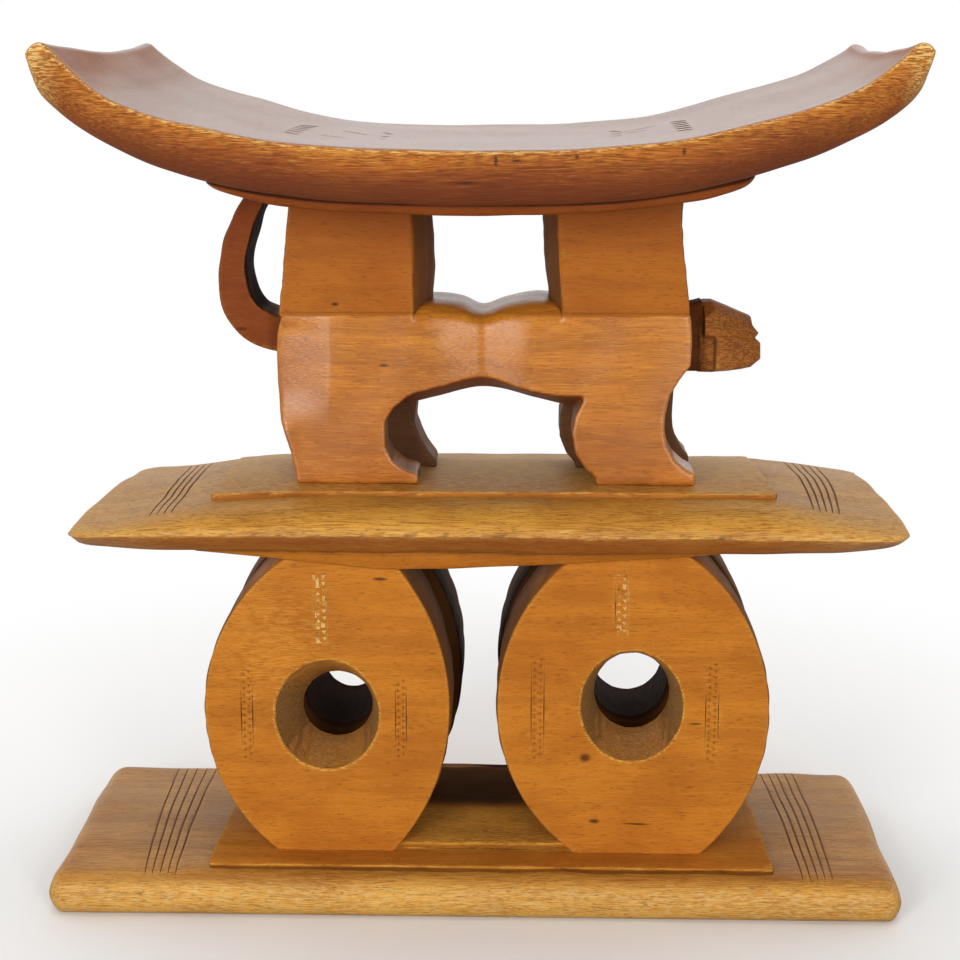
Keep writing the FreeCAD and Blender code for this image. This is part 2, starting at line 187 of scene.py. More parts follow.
def waxedWood(name, tones, shine=0.34, gloss=0.3):
    # sese wood, carved by hand, stained and waxed: fine dark pores along the length, an orange
    # glow on flat faces, grey-brown rough end grain, pale arrises where hands and floors wore it
    material = bpy.data.materials.new(name)
    material.use_nodes = True
    tree = material.node_tree
    tree.nodes.clear()
    place = put(tree, "ShaderNodeTexCoord").outputs["Object"]
    drift = put(tree, "ShaderNodeTexNoise", {"Vector": place, "Scale": 12.0, "Detail": 2.0})
    centred = put(tree, "ShaderNodeVectorMath", {0: drift.outputs["Color"], 1: (0.5, 0.5, 0.5)},
                  operation="SUBTRACT")
    sway = woodLook["sway"] * mm * 4
    grain = put(tree, "ShaderNodeVectorMath", {0: centred, 1: (0.0, sway, sway), 2: place},
                operation="MULTIPLY_ADD")
    noise = {}
    for key, detail in (("streak", 3.0), ("pore", 2.0), ("band", 4.0), ("cloud", 3.0), ("fleck", 2.0)):
        size = tuple(1000 / s for s in woodLook[key])
        scaled = put(tree, "ShaderNodeVectorMath", {0: grain, 1: size}, operation="MULTIPLY")
        noise[key] = put(tree, "ShaderNodeTexNoise", {"Vector": scaled, "Scale": 1.0,
                                                      "Detail": detail, "Roughness": 0.6})
    # finish holds wear with painted light, soil with painted shade, red (painted shade on faces turned
    # down) and pale
    finish = put(tree, "ShaderNodeAttribute", attribute_name="finish")
    wornAndLit, soiled, blush = put(tree, "ShaderNodeSeparateColor", {0: finish.outputs["Color"]}).outputs
    pale = finish.outputs["Alpha"]
    dust = put(tree, "ShaderNodeAttribute", attribute_name="dust").outputs["Fac"]
    # faces that a line or nick has cut are darker, with painted shade and dirt in the cut, or filled with
    # pale residue
    carved = put(tree, "ShaderNodeAttribute", attribute_name="carved").outputs["Color"]
    darkCut, paleCut, _ = put(tree, "ShaderNodeSeparateColor", {0: carved}).outputs
    facing = put(tree, "ShaderNodeNewGeometry").outputs["Normal"]
    across, _, upward = put(tree, "ShaderNodeSeparateXYZ", {0: facing}).outputs
    sideways = put(tree, "ShaderNodeMath", {0: across}, operation="ABSOLUTE")

    def spread(source, low, high, least=0.0, most=1.0):
        return (source, low, high, least, most)

    # name: where it lies between two levels of its source, and how strong it is there
    ranges = {
        "cloud": spread(noise["cloud"], 0.38, 0.66),
        "band": spread(noise["band"], 0.42, 0.66, 0.0, 0.55),
        "streak": spread(noise["streak"], 0.48, 0.68, 0.0, tones["fibres"]),
        "light": spread(noise["streak"], 0.46, 0.3, 0.0, tones["fibres"] * 0.9),
        "pore": spread(noise["pore"], 0.57, 0.68, 0.0, tones["pores"]),
        "end": spread(sideways, 0.62, 0.9, 0.0, tones["endGrain"]),
        "upward": spread(upward, 0.5, 0.92),
        "fleck": spread(noise["fleck"], 0.45, 0.6),
    }
    mask = {}
    for key, (source, low, high, least, most) in ranges.items():
        mask[key] = put(tree, "ShaderNodeMapRange", {"Value": source, "From Min": low, "From Max": high,
                                                     "To Min": least, "To Max": most},
                        interpolation_type="SMOOTHSTEP")
    products = {
        # upward faces greyed: painted reflection of the pale backdrop seen at a low angle, with some dust
        "top": (dust, mask["upward"], "MULTIPLY"),
        "wornAndLitFleck": (wornAndLit, mask["fleck"], "MULTIPLY"),
        "paleFleck": (pale, mask["fleck"], "MULTIPLY"),
    }
    for key, (one, other, operation) in products.items():
        mask[key] = put(tree, "ShaderNodeMath", {0: one, 1: other}, operation=operation)
    half = put(tree, "ShaderNodeMath", {0: pale, 1: 0.45}, operation="MULTIPLY")
    dark = 0.0
    for spot, reach in knots:
        away = put(tree, "ShaderNodeVectorMath", {0: grain, 1: tuple(c * mm for c in spot)},
                   operation="SUBTRACT")
        away = put(tree, "ShaderNodeVectorMath", {0: away, 1: tuple(1000 / r for r in reach)},
                   operation="MULTIPLY")
        away = put(tree, "ShaderNodeVectorMath", {0: away}, operation="LENGTH").outputs["Value"]
        near = put(tree, "ShaderNodeMapRange", {"Value": away, "From Min": 1.15, "From Max": 0.45})
        dark = put(tree, "ShaderNodeMath", {0: dark, 1: near}, operation="MAXIMUM")
    mask["knot"] = put(tree, "ShaderNodeMath", {0: dark, 1: 0.8}, operation="MULTIPLY")
    # from the ground colour up, each tone over the last by its mask
    layers = (
        (mask["cloud"], "ember"), (mask["band"], "deep"), (mask["light"], "light"),
        (mask["streak"], "fibre"),
        (blush, "blush"), (mask["top"], "dusty"), (mask["end"], "end"), (half, "wornAndLit"),
        (mask["wornAndLitFleck"], "wornAndLit"), (mask["paleFleck"], "bare"), (mask["pore"], "pore"),
        (mask["knot"], "soil"), (soiled, "soil"),
        (darkCut, "pore"), (paleCut, "bare"),
    )
    paint = linear(tones["honey"])
    for amount, tone in layers:
        over = put(tree, "ShaderNodeMix", {0: amount, 6: paint, 7: linear(tones[tone])}, data_type="RGBA")
        paint = over.outputs[2]
    rough = put(tree, "ShaderNodeMapRange", {"Value": noise["streak"], "To Min": shine - 0.08,
                                             "To Max": shine + 0.12})
    for amount, level in ((mask["end"], 0.8), (soiled, 0.85), (half, 0.6)):
        rough = put(tree, "ShaderNodeMix", {0: amount, 2: rough, 3: level})
    if "polish" in tones:      # a face that many have sat on mirrors the pale room at a low angle
        rough = put(tree, "ShaderNodeMix", {0: mask["upward"], 2: rough, 3: tones["polish"]})
    bump = put(tree, "ShaderNodeBump", {"Height": noise["streak"], "Strength": 0.45, "Distance": 0.3 * mm})
    bump = put(tree, "ShaderNodeBump", {"Height": noise["pore"], "Strength": 0.25, "Distance": 0.3 * mm,
                                        "Normal": bump})
    surface = put(tree, "ShaderNodeBsdfPrincipled", {"Base Color": paint, "Roughness": rough,
                                                     "Normal": bump, "IOR": 1.47,
                                                     "Specular IOR Level": gloss})
    put(tree, "ShaderNodeOutputMaterial", {"Surface": surface})
    return material


honeyTones = {
    "honey": "#cb7e26", "ember": "#b1681f", "deep": "#9e5a1c", "light": "#dea147", "fibre": "#8f4e19",
    "pore": "#64330f", "blush": "#823a12", "dusty": "#94734f", "end": "#6a4528", "wornAndLit": "#dfa64a",
    "bare": "#f0d48c", "soil": "#2e180b", "pores": 0.5, "endGrain": 0.8, "fibres": 0.48,
}
boardTones = dict(honeyTones, honey="#da9d3f", ember="#c4842f", deep="#9f6526", light="#e3b45c",
                  fibre="#7e4719", dusty="#a58055", bare="#dcb673", pores=0.65, endGrain=0.5, fibres=0.7)
seatTones = dict(honeyTones, honey="#b5621a", ember="#964812", deep="#7b3b10", light="#d39338",
                 fibre="#66290b", dusty="#8b6552", blush="#642a0c", wornAndLit="#d4932e", endGrain=0.25,
                 pores=0.7, fibres=0.85, polish=0.2)
discTones = dict(honeyTones, honey="#c67a24", ember="#b56a1d", deep="#a8611c", light="#d18c32",
                 fibre="#a9661f", fibres=0.4)
# a lighter copy of the disc tones, painted light for the step plate, the pad and the top plate, which lie
# in shade
litDiscTones = dict(discTones, honey="#d48a30", ember="#c27827", deep="#a86a26", light="#dc9b42",
                 fibre="#9a5a1d", dusty="#c8a888")
emberTones = dict(honeyTones, honey="#925124", ember="#763d1a", deep="#623012", light="#b57237",
                  endGrain=0.5)
honeyWood = waxedWood("waxed_sese_wood", honeyTones, 0.21, 0.43)
discWood = waxedWood("dry_sese_wood", discTones, 0.52, 0.12)
bareWood = waxedWood("unwaxed_sese_wood", litDiscTones, 0.8, 0.03)
plateWood = waxedWood("dull_sese_wood", litDiscTones, 0.48, 0.15)
boardWood = waxedWood("worn_sese_wood", boardTones, 0.42, 0.24)
seatWood = waxedWood("polished_sese_wood", seatTones, 0.8, 0.38)
emberWood = waxedWood("red_sese_wood", emberTones, 0.48, 0.1)


def setFinish(piece, soil=0, blush=0, pale=0, dust=0, rub=0, wear=1.0, crease=0.4):
    # reads the arrises and the creases from the mesh and stores wear with painted light, soil with painted
    # shade (the creases darken as painted shade), red and pale; each mask is a number or a function of the
    # places and the normals
    def amount(mask):
        return mask(places, normals) if callable(mask) else mask
    mesh = piece.data
    places, normals = placesOf(piece), normalsOf(piece)
    edges = np.empty(len(mesh.edges) * 2, np.int32)
    mesh.edges.foreach_get("vertices", edges)
    one, two = edges.reshape(-1, 2).T
    count = np.maximum(np.bincount(edges, minlength=len(places)), 1)
    step = places[two] - places[one]
    length = np.linalg.norm(step, axis=1)
    bend = np.zeros(len(places))
    lean = 2 / np.maximum(length, 0.15) ** 2
    np.add.at(bend, one, (step * normals[one]).sum(1) * lean)
    np.add.at(bend, two, -(step * normals[two]).sum(1) * lean)
    bend = np.clip(-bend / count, -1.5, 1.5)      # 1 / radius in mm, more than 0 on an arris
    for _ in range(3):
        total = bend * 1.0
        np.add.at(total, one, bend[two])
        np.add.at(total, two, bend[one])
        bend = total / (count + 1)
    patchy = 0.65 + 0.35 * np.clip(waves(places, 26, 3), -1, 1)
    masks = np.zeros((len(places), 4), np.float32)
    # the worn mask also takes the rub masks, which are wear, painted light on tops and a painted highlight
    # on one disc
    masks[:, 0] = np.clip(ease(bend, 0.04, 0.32) * wear * patchy + amount(rub), 0, 1)
    # creases darken as painted shade, and the soil masks add dirt and painted shade
    masks[:, 1] = np.clip(ease(-bend, 0.03, 0.4) * crease + amount(soil), 0, 1)
    masks[:, 2] = np.clip(amount(blush), 0, 1)
    masks[:, 3] = np.clip(amount(pale), 0, 1)
    layer = mesh.attributes.new("finish", "FLOAT_COLOR", "POINT")
    layer.data.foreach_set("color", masks.ravel())
    # painted reflection and dust, strongest on the rear of the tops
    grey = amount(dust) + np.zeros(len(places))
    layer = mesh.attributes.new("dust", "FLOAT", "POINT")
    layer.data.foreach_set("value", np.clip(grey, 0, 1).astype(np.float32))


def markCuts(piece, dark, residue=None):
    # gives the faces inside cut lines and nicks their own colour, darker with painted shade and dirt or
    # pale with residue, which the rest of the skin is free of
    mesh = piece.data
    inside = np.empty(len(mesh.polygons), np.float32)
    mesh.attributes["cut"].data.foreach_get("value", inside)
    middles = np.empty(len(mesh.polygons) * 3)
    mesh.polygons.foreach_get("center", middles)
    filled = residue(middles.reshape(-1, 3) / mm) if residue else np.zeros(len(inside))
    shades = np.zeros((len(inside), 4), np.float32)
    shades[:, 0] = inside * dark * (1 - filled)
    shades[:, 1] = inside * filled
    layer = mesh.attributes.new("carved", "FLOAT_COLOR", "FACE")
    layer.data.foreach_set("color", shades.ravel())


def standFor(piece, material, *nodes, sharp=48, cuts=0.0, residue=None, **finish):
    # the last steps for every piece: shading, wear with painted light and shade, material and its place in
    # the frame
    piece.data.shade_smooth()
    piece.data.set_sharp_from_angle(angle=math.radians(sharp))
    if cuts:
        markCuts(piece, cuts, residue)
    if "finish" not in piece.data.attributes:
        setFinish(piece, **finish)
    piece.data.materials.clear()
    piece.data.materials.append(material)
    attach(piece, "root")
    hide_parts(*nodes)
    return piece


# geometry node trees that cut what repeats
def newTree(name, inputs):
    tree = bpy.data.node_groups.new(name, "GeometryNodeTree")
    tree.interface.new_socket("Geometry", in_out="INPUT", socket_type="NodeSocketGeometry")
    tree.interface.new_socket("Geometry", in_out="OUTPUT", socket_type="NodeSocketGeometry")
    for title, kind in inputs.items():
        tree.interface.new_socket(title, in_out="INPUT", socket_type="NodeSocket" + kind)
    return tree


def runTree(piece, tree, values):
    modifier = piece.modifiers.new(tree.name, "NODES")
    modifier.node_group = tree
    for item in tree.interface.items_tree:
        if item.in_out == "INPUT" and item.name in values:
            modifier[item.identifier] = values[item.name]
    bake(piece)


def cutWith(tree, body, tool):
    # cuts a tool's shape out of the body, and notes in "cut" which faces lie on the tool
    cut = put(tree, "GeometryNodeMeshBoolean", {"Mesh 1": body, "Mesh 2": tool}, operation="DIFFERENCE",
              solver="EXACT")
    away = put(tree, "GeometryNodeProximity", {0: tool}, target_element="FACES").outputs["Distance"]
    near = put(tree, "ShaderNodeMapRange", {"Value": away, "From Min": 0.00004, "From Max": 0.00002})
    before = put(tree, "GeometryNodeInputNamedAttribute", {"Name": "cut"}, data_type="FLOAT")
    either = put(tree, "ShaderNodeMath", {0: near, 1: before}, operation="MAXIMUM")
    noted = put(tree, "GeometryNodeStoreNamedAttribute", {
        "Geometry": cut, "Name": "cut", "Value": either}, data_type="FLOAT", domain="FACE")
    put(tree, "NodeGroupOutput", {0: noted})


def incisedLinesTree():
    # a fan of V-shaped lines, laid between two outer ones and let down on to the surface
    tree = newTree("incisedLines", {
        "Lines": "Int", "First Start": "Vector", "First End": "Vector", "Last Start": "Vector",
        "Last End": "Vector", "Bow": "Float", "Depth": "Float", "Wobble": "Float"})
    group = put(tree, "NodeGroupInput").outputs
    fewer = put(tree, "ShaderNodeMath", {0: group["Lines"], 1: 1.0}, operation="SUBTRACT")
    gap = put(tree, "ShaderNodeMath", {0: 1.0, 1: fewer}, operation="DIVIDE")
    apart = put(tree, "ShaderNodeCombineXYZ", {"X": gap})
    row = put(tree, "GeometryNodeMeshLine", {"Count": group["Lines"], "Offset": apart})
    line = put(tree, "GeometryNodeCurvePrimitiveLine", {"End": (0.0, 1.0, 0.0)})
    fine = put(tree, "GeometryNodeResampleCurve", {"Curve": line, "Count": 40})
    many = put(tree, "GeometryNodeInstanceOnPoints", {"Points": row, "Instance": fine})
    real = put(tree, "GeometryNodeRealizeInstances", {0: many})
    share = put(tree, "ShaderNodeSeparateXYZ", {0: put(tree, "GeometryNodeInputPosition")}).outputs
    ends = []
    for corner in ("Start", "End"):
        mix = put(tree, "ShaderNodeMix", {0: share["X"], 4: group["First " + corner],
                                          5: group["Last " + corner]}, data_type="VECTOR")
        ends.append(mix.outputs[1])
    along = put(tree, "ShaderNodeMix", {0: share["Y"], 4: ends[0], 5: ends[1]}, data_type="VECTOR")
    bow = share["Y"]
    for operation, other in (("MULTIPLY", math.pi), ("SINE", 0.5), ("MULTIPLY", group["Bow"])):
        bow = put(tree, "ShaderNodeMath", {0: bow, 1: other}, operation=operation)
    shiver = put(tree, "ShaderNodeTexNoise", {"Vector": along.outputs[1], "Scale": 45.0, "Detail": 1.0})
    shiver = put(tree, "ShaderNodeMath", {0: shiver, 1: 0.5}, operation="SUBTRACT")
    bow = put(tree, "ShaderNodeMath", {0: shiver, 1: group["Wobble"], 2: bow},
              operation="MULTIPLY_ADD")
    aside = put(tree, "ShaderNodeCombineXYZ", {"X": bow})
    spot = put(tree, "ShaderNodeVectorMath", {0: along.outputs[1], 1: aside}, operation="ADD")
    laid = put(tree, "GeometryNodeSetPosition", {"Geometry": real, "Position": spot})
    hit = put(tree, "GeometryNodeRaycast", {"Target Geometry": group["Geometry"],
                                            "Ray Direction": (0.0, 0.0, -1.0), "Ray Length": 0.5})
    onTop = put(tree, "GeometryNodeSetPosition", {
        "Geometry": laid, "Selection": hit.outputs["Is Hit"], "Position": hit.outputs["Hit Position"]})
    # each line runs out to nothing at its ends
    width = put(tree, "GeometryNodeSplineParameter").outputs["Factor"]
    for operation, other in (("MULTIPLY", math.pi), ("SINE", 0.5), ("POWER", 0.3), ("MAXIMUM", 0.1),
                             ("MULTIPLY", group["Depth"])):
        width = put(tree, "ShaderNodeMath", {0: width, 1: other}, operation=operation)
    section = put(tree, "GeometryNodeCurvePrimitiveCircle", {"Resolution": 4, "Radius": 1.0})
    thick = put(tree, "GeometryNodeSetCurveRadius", {"Curve": onTop, "Radius": width})
    tool = put(tree, "GeometryNodeCurveToMesh", {"Curve": thick, "Profile Curve": section,
                                                 "Fill Caps": True})
    if "Scale" in tool.inputs:
        tree.links.new(width.outputs[0], tool.inputs["Scale"])
    cutWith(tree, group["Geometry"], tool)
    return tree


def punchedRowsTree():
    # a ladder pressed into a face: two staggered rows of three-cornered nicks leave a zigzag ridge
    # between them, with a fine line down each side
    tree = newTree("punchedRows", {
        "Nicks": "Int", "Length": "Float", "Width": "Float", "Nick": "Float", "Depth": "Float",
        "Middle": "Vector", "Turn": "Vector", "Seed": "Int"})
    group = put(tree, "NodeGroupInput").outputs
    fewer = put(tree, "ShaderNodeMath", {0: group["Nicks"], 1: 1.0}, operation="SUBTRACT")
    pitch = put(tree, "ShaderNodeMath", {0: group["Length"], 1: fewer}, operation="DIVIDE")
    rise = put(tree, "ShaderNodeCombineXYZ", {"Y": pitch})
    low = put(tree, "ShaderNodeMath", {0: group["Length"], 1: -0.5}, operation="MULTIPLY")
    joined = put(tree, "GeometryNodeJoinGeometry")
    nick = put(tree, "GeometryNodeMeshCone", {
        "Vertices": 3, "Radius Top": 0.0, "Radius Bottom": group["Nick"], "Depth": group["Depth"]})
    for side, tilt in ((-0.31, math.pi / 2), (0.31, -math.pi / 2)):
        x = put(tree, "ShaderNodeMath", {0: group["Width"], 1: side}, operation="MULTIPLY")
        start = put(tree, "ShaderNodeMath", {0: pitch, 1: side * 0.8, 2: low},
                    operation="MULTIPLY_ADD")
        first = put(tree, "ShaderNodeCombineXYZ", {"X": x, "Y": start})
        row = put(tree, "GeometryNodeMeshLine", {"Count": group["Nicks"], "Start Location": first,
                                                 "Offset": rise})
        loose = put(tree, "FunctionNodeRandomValue", {
            "Min": (-0.0002, -0.0001, 0.0), "Max": (0.0002, 0.0001, 0.0), "Seed": group["Seed"]},
            data_type="FLOAT_VECTOR")
        shaken = put(tree, "GeometryNodeSetPosition", {"Geometry": row, "Offset": loose})
        twist = put(tree, "FunctionNodeRandomValue", {2: tilt - 0.14, 3: tilt + 0.14,
                                                      "Seed": group["Seed"]})
        turned = put(tree, "ShaderNodeCombineXYZ", {"X": math.pi, "Z": twist.outputs[1]})
        size = put(tree, "FunctionNodeRandomValue", {2: 0.8, 3: 1.02, "Seed": group["Seed"]})
        scale = put(tree, "ShaderNodeCombineXYZ", {"X": size.outputs[1], "Y": size.outputs[1], "Z": 1.0})
        spun = put(tree, "FunctionNodeEulerToRotation", {0: turned})
        many = put(tree, "GeometryNodeInstanceOnPoints", {
            "Points": shaken, "Instance": nick, "Rotation": spun,
            "Scale": scale})
        tree.links.new(many.outputs[0], joined.inputs[0])
    line = put(tree, "GeometryNodeMeshCone", {"Vertices": 4, "Radius Top": 0.0, "Radius Bottom": 1.0,
                                              "Depth": group["Depth"]})
    for side in (-0.64, 0.64):
        x = put(tree, "ShaderNodeMath", {0: group["Width"], 1: side}, operation="MULTIPLY")
        spot = put(tree, "ShaderNodeCombineXYZ", {"X": x})
        long = put(tree, "ShaderNodeMath", {0: group["Length"], 1: 0.56}, operation="MULTIPLY")
        scale = put(tree, "ShaderNodeCombineXYZ", {"X": 0.00035, "Y": long, "Z": 1.0})
        thin = put(tree, "GeometryNodeTransform", {"Geometry": line, "Translation": spot,
                                                   "Rotation": (math.pi, 0.0, 0.0), "Scale": scale})
        tree.links.new(thin.outputs[0], joined.inputs[0])
    laid = put(tree, "GeometryNodeTransform", {"Geometry": joined, "Translation": group["Middle"],
                                               "Rotation": group["Turn"]})
    real = put(tree, "GeometryNodeRealizeInstances", {0: laid})
    cutWith(tree, group["Geometry"], real)
    return tree


incisedLines = incisedLinesTree()
punchedRows = punchedRowsTree()
print("materials and cutting trees ready")


# boards and plates, from the floor up
def edgeSteps(reach, power, count=10):
    # how far in from an edge and how high, on an edge rounded like a worn quarter
    turn = np.linspace(0, math.pi / 2, count)
    return reach * (1 - np.cos(turn) ** (2 / power)), np.sin(turn) ** (2 / power)


def pillow(name, size, over, under, corner, shape, spacing=3.2):
    # a board as a closed skin: size is left, right, front, rear; over and under give the reach and the
    # squareness of the upper and the lower edge at the front, rear, left and right; shape bends it all
    left, right, front, rear = size
    middle = np.linspace(0, 1, max(int((right - left) / spacing), 3))
    across = np.linspace(0, 1, max(int((rear - front) / spacing), 3))
    sheets = []
    for edges in (over, under):
        (atFront, riseFront), (atRear, riseRear), (atLeft, riseLeft), (atRight, riseRight) = [
            edgeSteps(*edge) for edge in edges]
        inner = left + atLeft[-1] + middle[1:-1] * (right - atRight[-1] - left - atLeft[-1])
        s = np.concatenate([left + atLeft, inner, (right - atRight)[::-1]])
        endRise = np.concatenate([riseLeft, np.ones(len(inner)), riseRight[::-1]])
        inset = np.minimum(s - left, right - s)
        cut = corner - np.sqrt(np.clip(corner ** 2 - np.clip(corner - inset, 0, corner) ** 2, 0, None))
        low, high = (front + cut)[:, None], (rear - cut)[:, None]
        start, stop = low + atFront[None, :], high - atRear[None, :]
        between = start[:, -1:] + across[None, 1:-1] * (stop[:, -1:] - start[:, -1:])
        y = np.hstack([start, between, stop[:, ::-1]])
        sideRise = np.concatenate([riseFront, np.ones(len(across) - 2), riseRear[::-1]])
        w = endRise[:, None] * sideRise[None, :]
        sheets.append((np.repeat(s[:, None], y.shape[1], 1), y, w))
    (s, y, w), (s2, y2, w2) = sheets
    y2[0], y2[-1] = y[0], y[-1]      # both skins share the points of the arris at the ends
    rings = np.stack(shape(np.hstack([s, s2[:, ::-1]]), np.hstack([y, y2[:, ::-1]]),
                           np.hstack([w, -w2[:, ::-1]])), 2)
    count, width = rings.shape[:2]
    faces = []
    for i in range(count - 1):
        a, b = i * width, (i + 1) * width
        faces += [(a + j, a + (j + 1) % width, b + (j + 1) % width, b + j) for j in range(width)]
    return makePiece(name, rings.reshape(-1, 3), faces)


def flatBoard(top, edge, bottom):
    # heights of a board's upper side, arris and under side, each a number or a function of x and y
    def shape(s, y, w):
        high, mid, low = [level(s, y) if callable(level) else level for level in (top, edge, bottom)]
        return s, y, mid + np.where(w > 0, w * (high - mid), w * (mid - low))
    return shape


def carve(name, look, *levels):
    # a board or plate from its own dictionary, with its levels there or as functions
    return pillow(name, look["size"], look["over"], look["under"], look["corner"],
                  flatBoard(*(levels or look["levels"])))


def uneven(piece, amount, size, seed, flatBelow=None):
    # moves the skin in and out a little, and leaves the under side flat where it has to rest
    places, normals = placesOf(piece), normalsOf(piece)
    push = waves(places, size, seed) * amount
    if flatBelow is not None:
        push = push * ease(places[:, 2], flatBelow, flatBelow + 4)
    movePlaces(piece, places + normals * push[:, None])


baseBoard = {
    "size": (-222.5, 220.5, -81.5, 74), "corner": 9, "levels": (21.5, 9.5, 0),
    "over": ((15, 2.3), (13, 2.3), (11, 2.3), (11, 2.3)), "under": ((6, 2), (6, 2), (7, 2), (7, 2)),
    "lines": {"Lines": 5, "Depth": 0.65 * mm, "Bow": -1.5 * mm, "Wobble": 0.7 * mm},
    "leftLines": ((-172.5, -75), (-181, 69), (-156.5, -75), (-158.5, 69)),
    "rightLines": ((169.5, -75), (165, 69), (185, -75), (184, 69)),
}


def lineGroup(settings, corners, height):
    # the outer two lines' ends, at a height above the board from which the tree lets them down
    first, firstEnd, last, lastEnd = [(x * mm, y * mm, height * mm) for x, y in corners]
    return dict(settings, **{"First Start": first, "First End": firstEnd, "Last Start": last,
                             "Last End": lastEnd})


def makeBaseBoard():
    look = baseBoard
    board = carve("baseBoard", look)
    places = placesOf(board)
    edge = ease(np.abs(places[:, 0]), 190, 219)
    places[:, 0] += edge * 0.4 * np.sin(places[:, 1] / 17) * np.sign(places[:, 0])
    places[:, 2] -= ease(places[:, 1], 0, 74) * 0.9 * ease(places[:, 2], 15, 21)
    movePlaces(board, places)
    uneven(board, 0.35, 40, 5, 0.5)
    for corners, sign in ((look["leftLines"], 1), (look["rightLines"], -1)):
        lines = dict(look["lines"], Bow=look["lines"]["Bow"] * sign)
        runTree(board, incisedLines, lineGroup(lines, corners, 60))

    # painted shade on the top behind the pad, between the discs
    def soil(p, n):
        between = ease(p[:, 1], -30, 0) * (1 - ease(np.abs(p[:, 0] - 4), 45, 90))
        return between * 0.5 * ease(p[:, 2], 15, 20)

    def pale(p, n):
        low = 1 - ease(p[:, 2], 15, 20.5)
        front = ease(-p[:, 1], 64, 76)
        return low * (0.25 + 0.35 * front)

    # painted reflection of the backdrop greys the rear of the top, with dust
    def dust(p, n):
        return 0.05 + 0.4 * ease(p[:, 1], -60, 10)
    standFor(board, boardWood, "base_board", soil=soil, pale=pale, dust=dust, cuts=0.55, wear=0.6,
             crease=0.15, blush=lambda p, n: 0.25 * ease(p[:, 2], 17, 21))


stepPlate = {"size": (-140, 155, -69, 70), "corner": 2, "levels": (24.5, 23.7, 19.5),
             "over": ((0.9, 2), (2, 2), (0.9, 2), (0.9, 2)), "under": ((1, 2), (1, 2), (1, 2), (1, 2))}


def makeStepPlate():
    step = carve("baseStepPlate", stepPlate)
    places = placesOf(step)
    x, y = places[:, 0], places[:, 1]
    lean = (y + 69) / 139
    places[:, 0] += np.where(x < 0, 1, -1) * ease(np.abs(x), 60, 140) * (9 * lean ** 1.3 - 3 * lean)
    places[:, 2] -= ease(y, 20, 70) * 1.2 * ease(places[:, 2], 21, 24)
    movePlaces(step, places)
    uneven(step, 0.2, 30, 8)
    # painted reflection greys the rear of the top; painted shade darkens it between the discs and below
    # its arris
    standFor(step, bareWood, "base_step_plate", wear=0.8,
             dust=lambda p, n: 0.3 * ease(p[:, 1], -50, 10), blush=0.2,
             soil=lambda p, n: 0.5 * ease(p[:, 1], -20, 10) * (1 - ease(np.abs(p[:, 0] - 4), 40, 80))
             + 0.7 * (1 - ease(p[:, 2], 22.9, 23.8)))


centerPad = {"size": (-46, 54, -51.3, 52), "corner": 2, "levels": (29, 26, 24),
             "over": ((1.5, 2), (2, 2), (2, 2), (2, 2)), "under": ((1, 2), (1, 2), (1, 2), (1, 2))}


def makeCenterPad():
    # the ground between the discs, rough, darkened towards the rear and on its sides as painted shade, its
    # front top lightened as painted light
    pad = carve("baseCenterPad", centerPad)
    uneven(pad, 0.3, 22, 9)
    standFor(pad, bareWood, "base_center_pad", wear=0.8, blush=0.04,
             rub=lambda p, n: 0.85 * (1 - ease(p[:, 1], -16, 0)) * ease(n[:, 2], 0.6, 0.9),
             soil=lambda p, n: 0.92 * ease(p[:, 1], -10, 4) + 0.5 * (1 - ease(n[:, 2], 0.2, 0.7)))


middleBoard = {
    "size": (-207, 218, -78, 76), "corner": 13,
    "over": ((29, 2.1), (14, 2), (3.5, 2.2), (3.5, 2.2)),
    "under": ((9, 1.15), (9, 1.4), (6, 1.9), (6, 1.9)),
    "top": [(-212, 205.5), (-196, 207), (-182, 208.5), (-168, 210.2), (-152, 213), (-134, 215.6),
            (-110, 217.2), (-80, 218), (0, 218), (100, 218), (150, 217.3), (168, 215.2), (182, 213),
            (198, 210.8), (218, 208.5)],
    "rearDrop": (3.4, 1.5, 150, 28),     # mm at the rear edge, the more near a place along X, how wide
    "arris": [(-212, 202), (-192, 203), (-150, 204), (0, 204.6), (150, 204), (198, 203.4), (218, 204)],
    "belly": [(-212, 198.5), (-190, 196), (-150, 194.6), (0, 193.8), (150, 194.4), (195, 196.5),
              (218, 200)],
    "lines": {"Depth": 0.8 * mm, "Wobble": 1.2 * mm},
    "leftLines": ((-166, -62), (-168, 66), (-155, -62), (-156, 66)),
    "rightLines": ((171, -58), (173, 64), (184, -58), (191, 64)),
}


